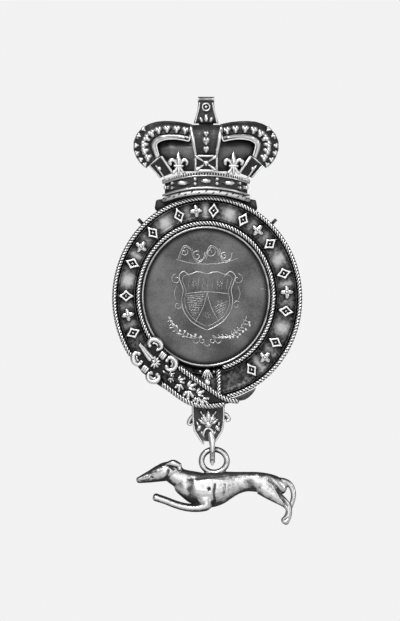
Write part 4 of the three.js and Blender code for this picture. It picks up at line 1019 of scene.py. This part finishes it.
def loop_dress():
    """Bright borders of the suspension loop, a ring round its rivet and three petals at its foot."""
    builder = Builder()
    tall = LOOP.top - LOOP.foot
    for side in (-1, 1):
        border = [in_crown(side * out, LOOP.front, LOOP.foot + share * tall) for out, share in LOOP_BORDER]
        builder.tube(resample(border, 0.4), 0.24, 10)
        petal = in_crown(side * 1.35, LOOP.front, LOOP.foot + 0.75)
        builder.dome(petal, [0.42, 0.4, 0.85], tilt=side * 0.35)
    builder.dome(in_crown(0, LOOP.front, LOOP.foot + 1.2), [0.55, 0.4, 1.15])
    rivet = in_crown(0, LOOP.front, LOOP.rivet)
    ring = [rivet + 0.98 * direction(turn) for turn in np.linspace(0, FULL_TURN, 25)]
    builder.tube(ring, 0.24, 10, round_ends=False)
    builder.dome(rivet - 0.2 * BACKWARD, [0.42, 0.4, 0.42])
    builder.make("loop_dress", "pearl")


def crown_pieces():
    lily(-1, "left")
    lily(1, "right")
    crown_pearls()
    arch_lips()
    cross_rails()
    circlet_stones()
    loop_dress()
    beaded_rail()
    ermine_spots()


# Buckle, tail and hanger.

BUCKLE = np.array([-14.5, 0, -17.0])

# Scrolls of the buckle. Columns: x and z from its middle, size, first turn and sweep in degrees.
SCROLLS = (
    (0.16, 3.86, 1.08, -75, 200),
    (-3.55, 0.97, 1.03, -16, -180),
    (4.2, -0.65, 0.95, -35, 256),
    (0.05, -3.75, 0.88, -45, -238),
)


def buckle_scrolls():
    """C-scrolls that swell in the middle and end in small balls, and short bars where the strap passes."""
    builder = Builder()
    shares = np.linspace(0, 1, 24)
    for x, z, size, first, sweep in SCROLLS:
        centre = BUCKLE + [x, 0, z]
        reaches = size * 1.95 * (1 - 0.42 * np.abs(2 * shares - 1) ** 4)
        curve = reaches[:, None] * [direction(math.radians(first + sweep * share)) for share in shares]
        scroll = centre + curve - 3.5 * BACKWARD
        builder.tube(scroll, 0.44 + 0.26 * np.sin(shares * math.pi), 14, 0.9)
        for end in (scroll[0], scroll[-1]):
            builder.dome(end, [0.58, 0.58, 0.58])
        builder.tube(centre + 0.5 * curve[7:17] - 3.3 * BACKWARD, 0.3, 10)
    for x, z in ((2.5, 1.65), (-2.3, -2.05)):
        for slide in (-0.55, 0, 0.55):
            middle = BUCKLE + [x + slide * 0.77, -4.4, z - slide * 0.64]
            builder.tube([middle - [0.4, 0, 0.48], middle + [0.4, 0, 0.48]], 0.34, 10)
    builder.make("buckle_scrolls", "pearl")


def tongue():
    """The pin of the buckle, grooved along its middle, and the flower at its root."""
    builder = Builder()
    places = ((-3.6, 4.5), (-2.6, 3.2), (-1.6, 1.9), (-0.6, 0.7))
    path = resample([BUCKLE + [x, -4.1, z] for x, z in places], 0.25)
    width = swell(path, (0.16, 0.42))
    for sign in (-1, 1):
        builder.tube(path + sign * width[:, None] * [0.78, 0, 0.62], width + 0.1, 10)
    for turn in np.radians(range(4, 256, 36)):
        builder.dome(BUCKLE + [0.3, -4.0, -0.2] + 0.95 * direction(turn), [0.32, 0.4, 0.78], tilt=turn)
    builder.dome(BUCKLE + [0.1, -4.3, 0.0], [0.5, 0.4, 0.5])
    made = builder.make("grooved_tongue", "pearl")
    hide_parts("buckle_tongue")


# Petals in a hand of the tail's leaf: turn from square across the tail towards its end, reach and length.
PETALS = ((-0.1, 0.85, 0.62), (0.55, 1.05, 1.0), (1.15, 0.9, 0.8))


def tail_leaf():
    """An acanthus leaf along the tail of the strap: hands of three petals either side of a thick rib."""
    builder = Builder()
    start, end = np.array([-11.0, -3.55, -20.3]), np.array([-1.5, -3.55, -27.1])
    heading = (end - start) / np.linalg.norm(end - start)
    aside = np.array([-heading[2], 0, heading[0]])
    for along, size in ((0.1, 0.8), (0.34, 1.15), (0.6, 1.4), (0.86, 1.25)):
        for sign in (-1, 1):
            root = start + (end - start) * (along - 0.03 * sign)
            for turn, reach, tall in PETALS:
                out = math.cos(turn) * sign * aside + math.sin(turn) * heading
                tilt, tip = tilt_of(out), reach + 0.75 * tall
                builder.dome(root + out * reach * size, [0.4 * size, 0.62, tall * size], tilt=tilt)
                builder.dome(root + out * tip * size, [0.36 * size, 0.75, 0.36 * size], tilt=tilt)
    for turn in (-0.7, 0, 0.7):
        out = math.cos(turn) * heading + math.sin(turn) * aside
        builder.dome(end + out * 0.9, [0.5, 0.6, 1.1], tilt=tilt_of(out))
        builder.dome(end + out * 1.75, [0.48, 0.7, 0.48])
    builder.tube([start - heading, start + heading * 4, end], [0.3, 0.46, 0.5], 12)
    builder.make("tail_leaf", "pearl")


# The hanger's places are shares across its half-width and down its length.
HANGER = Sizes(x=0.3, half_width=4.45, top=-28.0, length=11.8)

# Lobes of the palmette. Columns: across, down, half-width, half-height and tilt.
PALMETTE = (
    (0, 0.34, 0.72, 1.7, 0),
    (0, 0.25, 0.45, 0.8, 0),
    (0, 0.52, 1.0, 0.95, 0),
    (0.2, 0.4, 0.6, 1.4, 0.5),
    (0.3, 0.31, 0.36, 0.6, 0.3),
    (0.37, 0.46, 0.5, 1.15, 1.0),
    (0.52, 0.41, 0.34, 0.55, 0.7),
    (0.56, 0.6, 0.62, 1.0, -0.5),
)
HANGER_BORDER = ((0.93, 0.02), (0.93, 0.35), (0.85, 0.62), (0.72, 0.72), (0.52, 0.84), (0.3, 0.95))
HANGER_BROW = ((-0.3, 0.76), (-0.22, 0.65), (0, 0.6), (0.22, 0.65), (0.3, 0.76))
HANGER_CURLS = (
    ((-0.86, 0.3), (-1.08, 0.38), (-1.22, 0.49), (-1.1, 0.52)),
    ((0.86, 0.26), (1.12, 0.3), (1.28, 0.4), (1.14, 0.43)),
)

# The drop over the hook. Columns: x, y, share down the hanger, and radius.
HANGER_DROP = (
    (1.0, -2.5, 0.74, 0.75),
    (1.25, -2.75, 0.86, 0.95),
    (1.4, -2.9, 1.0, 0.72),
    (1.4, -2.8, 1.24, 0.5),
    (1.4, -2.3, 1.42, 0.42),
)


def on_hanger(across, down, y):
    return (HANGER.x + across * HANGER.half_width, y, HANGER.top - down * HANGER.length)


def hanger_dress():
    """A five-lobed palmette between two leaves, bright borders, and a drop over the hook."""
    builder = Builder()
    for side, across, down, width, tall, tilt in mirrored(PALMETTE):
        builder.dome(on_hanger(side * across, down, -2.1), [width, 0.75, tall], tilt=side * tilt)
    for side in (-1, 1):
        border = [on_hanger(side * across, down, -1.95) for across, down in HANGER_BORDER]
        builder.tube(resample(border, 0.4), 0.27, 10)
    brow = [on_hanger(across, down, -2.2) for across, down in HANGER_BROW]
    builder.tube(resample(brow, 0.3), 0.36, 10)
    for curl in HANGER_CURLS:
        path = resample([on_hanger(across, down, -1.3) for across, down in curl], 0.3)
        builder.tube(path, swell(path, (0.62, 0.42)))
    x, y, down, radii = np.transpose(HANGER_DROP)
    builder.tube(np.stack([x, y, HANGER.top - down * HANGER.length], axis=1), radii, 14, 0.6)
    builder.make("hanger_dress", "pearl")


def fittings():
    buckle_scrolls()
    tongue()
    tail_leaf()
    hanger_dress()


# Greyhound: the cast body with its eye, jaw, ear, shoulder, ribs and thigh cut into both sides.

HOUND_SIZE = Sizes(length=43.2, height=18.2, half_depth=2.7, pivot_along=0.478, feet_drop=19.0)

# The ring over its back: half-sizes to the middle of its wire, the wire's radius, how far its middle stands
# to one side of the pivot, and how high its inner edge lies over the pivot.
RING = Sizes(half_width=3.45, half_height=3.1, radius=0.8, shift=0.5, over_pivot=1.0)

# Parts of the greyhound. Columns: along from the muzzle and rise from the feet as shares, half-height as a
# share of its height, half-width as a share of its half-depth, and how far the part stands to one side.
TORSO = (
    (0.287, 0.645, 0.165, 0.75, 0), (0.331, 0.601, 0.2, 0.92, 0), (0.381, 0.556, 0.235, 1, 0),
    (0.444, 0.542, 0.265, 1, 0), (0.506, 0.568, 0.255, 0.92, 0), (0.569, 0.613, 0.213, 0.8, 0),
    (0.631, 0.648, 0.168, 0.66, 0), (0.694, 0.666, 0.147, 0.6, 0), (0.756, 0.662, 0.15, 0.6, 0),
    (0.819, 0.641, 0.15, 0.6, 0), (0.875, 0.608, 0.138, 0.54, 0), (0.919, 0.564, 0.095, 0.4, 0),
)
NECK = (
    (0.39, 0.6, 0.21, 0.85, 0), (0.344, 0.638, 0.195, 0.78, 0), (0.281, 0.708, 0.155, 0.7, 0),
    (0.225, 0.78, 0.135, 0.68, 0),
)
HEAD = (
    (0.269, 0.816, 0.1, 0.6, 0), (0.225, 0.823, 0.14, 0.74, 0), (0.188, 0.816, 0.143, 0.78, 0),
    (0.144, 0.786, 0.124, 0.7, 0), (0.094, 0.745, 0.094, 0.56, 0), (0.05, 0.712, 0.068, 0.44, 0),
    (0.014, 0.687, 0.046, 0.34, 0),
)
FORE_LEG = (
    (0.43, 0.43, 0.13, 0.42, 0.54), (0.44, 0.325, 0.085, 0.42, 0.56), (0.388, 0.28, 0.062, 0.38, 0.56),
    (0.319, 0.285, 0.057, 0.36, 0.55), (0.25, 0.326, 0.055, 0.36, 0.52), (0.188, 0.383, 0.054, 0.35, 0.5),
    (0.12, 0.437, 0.056, 0.34, 0.48),
)
HIND_LEG = (
    (0.794, 0.593, 0.134, 0.32, 0.34), (0.844, 0.504, 0.114, 0.32, 0.32), (0.894, 0.415, 0.085, 0.3, 0.28),
    (0.938, 0.334, 0.062, 0.26, 0.24), (0.956, 0.26, 0.05, 0.23, 0.22), (0.953, 0.163, 0.052, 0.22, 0.22),
    (0.932, 0.075, 0.066, 0.25, 0.22),
)
TAIL = (
    (0.875, 0.67, 0.07, 0.3, 0), (0.931, 0.665, 0.052, 0.26, 0), (0.966, 0.615, 0.045, 0.22, 0),
    (0.983, 0.53, 0.041, 0.2, 0), (0.985, 0.43, 0.038, 0.19, 0), (0.972, 0.32, 0.036, 0.18, 0),
    (0.958, 0.25, 0.034, 0.18, 0),
)
EAR = (
    (0.165, 0.885, 0.022, 0.18, 0.5), (0.2, 0.925, 0.036, 0.22, 0.56), (0.235, 0.94, 0.05, 0.26, 0.6),
    (0.275, 0.905, 0.036, 0.2, 0.64),
)
EAR_TIP = ((0.245, 0.93, 0.034, 0.2, 0.5), (0.268, 0.9, 0.04, 0.2, 0.6), (0.272, 0.85, 0.03, 0.18, 0.68))

# A limb's rounded end: reach past the last row as a share of its half-height, and size.
LIMB_TIP = ((0.3, 0.84), (0.55, 0.55), (0.62, 0.2))

# Lines cut into both sides of the greyhound: path, half-width and depth in millimetres.
HOUND_CUTS = (
    (((0.343, 0.683), (0.331, 0.588), (0.343, 0.48), (0.36, 0.386)), 1.0, 0.34),
    (((0.456, 0.572), (0.457, 0.556)), 0.32, 0.45),
    (((0.494, 0.629), (0.487, 0.507), (0.494, 0.386)), 0.26, 0.28),
    (((0.485, 0.37), (0.48, 0.251)), 0.4, 0.5),
    (((0.556, 0.629), (0.553, 0.507)), 0.26, 0.2),
    (((0.587, 0.615), (0.582, 0.521)), 0.24, 0.12),
    (((0.382, 0.718), (0.462, 0.737), (0.564, 0.718), (0.678, 0.728)), 0.4, 0.16),
    (((0.705, 0.67), (0.725, 0.6), (0.746, 0.521), (0.769, 0.48)), 0.85, 0.34),
    (((0.835, 0.7), (0.882, 0.575), (0.917, 0.41), (0.942, 0.315)), 0.45, 0.35),
    (((0.203, 0.844), (0.195, 0.763), (0.184, 0.683)), 0.3, 0.3),
    (((0.155, 0.925), (0.212, 0.9), (0.24, 0.85)), 0.26, 0.28),
    (((0.096, 0.738), (0.103, 0.731)), 0.26, 0.35),
    (((0.075, 0.79), (0.121, 0.82)), 0.2, 0.18),
    (((0.005, 0.676), (0.053, 0.691), (0.087, 0.71)), 0.17, 0.2),
    (((0.93, 0.1), (0.95, 0.13)), 0.2, 0.2),
)
DEEPEST_CUT = 0.5


def on_hound(along, rise, aside=0.0):
    x = (along - HOUND_SIZE.pivot_along) * HOUND_SIZE.length
    z = rise * HOUND_SIZE.height - HOUND_SIZE.feet_drop
    return PIVOT + [x, aside * HOUND_SIZE.half_depth, z]


def hound_part(rows, side=1, sides=28):
    """An oval limb along smooth rows, with rounded ends."""
    spread = smooth_rows(rows, 6)
    path = np.array([on_hound(along, rise, side * aside) for along, rise, _, _, aside in spread])
    tall, deep = spread[:, 2] * HOUND_SIZE.height, spread[:, 3] * HOUND_SIZE.half_depth
    along, across = path_frames(path)

    def ring(i, size=1.0, past=0.0):
        return oval(path[i] + past * tall[i] * along[i], across[i], size * tall[i], size * deep[i], sides)

    start = [ring(0, size, -reach) for reach, size in LIMB_TIP[::-1]]
    end = [ring(-1, size, reach) for reach, size in LIMB_TIP]
    return loft(start + [ring(i) for i in range(len(path))] + end)


def hound_ring(builder):
    """The ring over the greyhound's back, standing in the badge's plane, and the foot that joins them."""
    inner_width, inner_height = RING.half_width - RING.radius, RING.half_height - RING.radius
    drop = inner_height * math.sqrt(1 - (RING.shift / inner_width) ** 2) - RING.over_pivot
    centre = PIVOT + [RING.shift, 0, -drop]
    rings = []
    for turn in circle(64):
        out = direction(turn)
        middle = centre + out * [RING.half_width, 0, RING.half_height]
        rings.append(oval(middle, out, RING.radius, RING.radius, 16))
    builder.add(*loft(rings, joined=True))
    builder.dome(centre - 3.9 * UP, [2.65, 0.88, 0.8], 10, 20)


def hound_sculpt(points, normals):
    """Cuts that fade out where the body turns away from either side."""
    facing = np.clip(np.abs(normals[:, 1]) * 1.6 - 0.2, 0, 1)
    total = np.zeros(len(points))
    for places, width, depth in HOUND_CUTS:
        total += stroke_cut(points, [on_hound(*place)[[0, 2]] for place in places], width, depth)
    return np.maximum(total * facing, -DEEPEST_CUT)


def painted_hound_shade(normals):
    """Painted shade along the greyhound's back, where it faces up, and, more lightly, under its belly and
    limbs.
    """
    back = np.clip((normals[:, 2] - 0.28) / 0.4, 0, 1)
    under = np.clip((-normals[:, 2] - 0.25) / 0.45, 0, 1)
    return 0.78 * back + 0.68 * under


def greyhound():
    builder = Builder()
    for rows in (TORSO, NECK, HEAD):
        builder.add(*hound_part(rows))
    builder.add(*hound_part(TAIL, sides=16))
    for side in (-1, 1):
        for rows in (FORE_LEG, HIND_LEG, EAR, EAR_TIP):
            builder.add(*hound_part(rows, side, 18))
    hound_ring(builder)
    rough = builder.make("greyhound_rough", "hound", None)
    source = rough.data
    bpy.data.objects.remove(rough)
    # The greyhound's back and underside get painted shade through the shade entry.
    dress = {"source": source, "sculpt": hound_sculpt, "shade": painted_hound_shade}
    refine("greyhound", "cast_greyhound", "hound", 0.13, 3, 0.02, HOUND, **dress)


# Plain pieces keep the frame's own solids and get a finish.

PLAIN_NODES = {
    "medallion_plate": "plate",
    "back_plate": "back",
    "back_clip_left": "dark",
    "back_clip_right": "dark",
}


def finish_plain_nodes():
    for name, finish in PLAIN_NODES.items():
        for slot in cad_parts[name].material_slots:
            slot.material = MATERIALS[finish]


# Studio, in metres of the shared frame.

BACKDROP = 0.89
AMBIENT = 0.2
FLOOR = Sizes(half_size=0.6, drop=0.215, tone=0.85)
VIEW = Sizes(x=-0.00164, z=-0.05687, height=0.1677, lens=200.0, sensor=36.0)
LIT_POINT = (0, 0, -0.055)

# Columns: name, location, width, height and power.
LIGHTS = (
    ("front_fill", (0, -1.3, 0.1), 0.9, 0.9, 3.4),
    ("front_top", (-0.15, -0.5, 0.4), 0.3, 0.2, 2.6),
    ("front_side", (0.5, -0.45, 0.05), 0.12, 0.4, 0.6),
    ("back_fill", (0.2, 1.3, 0.3), 0.8, 0.8, 2.0),
)


def surroundings():
    """A pale backdrop that only the camera sees, and dimmer light from all round."""
    world = bpy.data.worlds.new("studio")
    world.use_nodes = True
    tree = world.node_tree
    tree.nodes.clear()
    mixer = node(tree, "ShaderNodeMixShader")
    tree.links.new(node(tree, "ShaderNodeLightPath").outputs["Is Camera Ray"], mixer.inputs["Fac"])
    for place, tone in ((1, AMBIENT), (2, BACKDROP)):
        background = node(tree, "ShaderNodeBackground")
        feed(tree, background.inputs["Color"], tone)
        tree.links.new(background.outputs[0], mixer.inputs[place])
    tree.links.new(mixer.outputs[0], node(tree, "ShaderNodeOutputWorld").inputs["Surface"])
    bpy.context.scene.world = world
    bpy.context.scene.view_settings.view_transform = "Standard"


def floor():
    mesh = bpy.data.meshes.new("floor")
    corners = ((-1, -1), (1, -1), (1, 1), (-1, 1))
    points = [(x * FLOOR.half_size, y * FLOOR.half_size, -FLOOR.drop) for x, y in corners]
    mesh.from_pydata(points, [], [(0, 1, 2, 3)])
    mesh.materials.append(plain_material("pale_floor", FLOOR.tone, 0.7))
    made = bpy.data.objects.new("floor", mesh)
    bpy.context.scene.collection.objects.link(made)


def area_light(name, location, width, height, power):
    data = bpy.data.lights.new(name, "AREA")
    data.shape = "RECTANGLE"
    data.size = width
    data.size_y = height
    data.energy = power
    lamp = bpy.data.objects.new(name, data)
    lamp.location = location
    lamp.rotation_mode = "QUATERNION"
    lamp.rotation_quaternion = (Vector(LIT_POINT) - Vector(location)).to_track_quat("-Z", "Y")
    lamp.visible_camera = False
    bpy.context.scene.collection.objects.link(lamp)


def camera():
    data = bpy.data.cameras.new("camera")
    data.lens = VIEW.lens
    data.sensor_width = VIEW.sensor
    made = bpy.data.objects.new("camera", data)
    made.location = (VIEW.x, -VIEW.lens / VIEW.sensor * VIEW.height, VIEW.z)
    made.rotation_euler = (math.pi / 2, 0, 0)
    bpy.context.scene.collection.objects.link(made)
    bpy.context.scene.camera = made


camera()
surroundings()
floor()
for light in LIGHTS:
    area_light(*light)
strap_pieces()
ropes()
bezel()
engraving()
for casting in CASTINGS:
    refine(*casting)
crown_pieces()
fittings()
greyhound()
finish_plain_nodes()
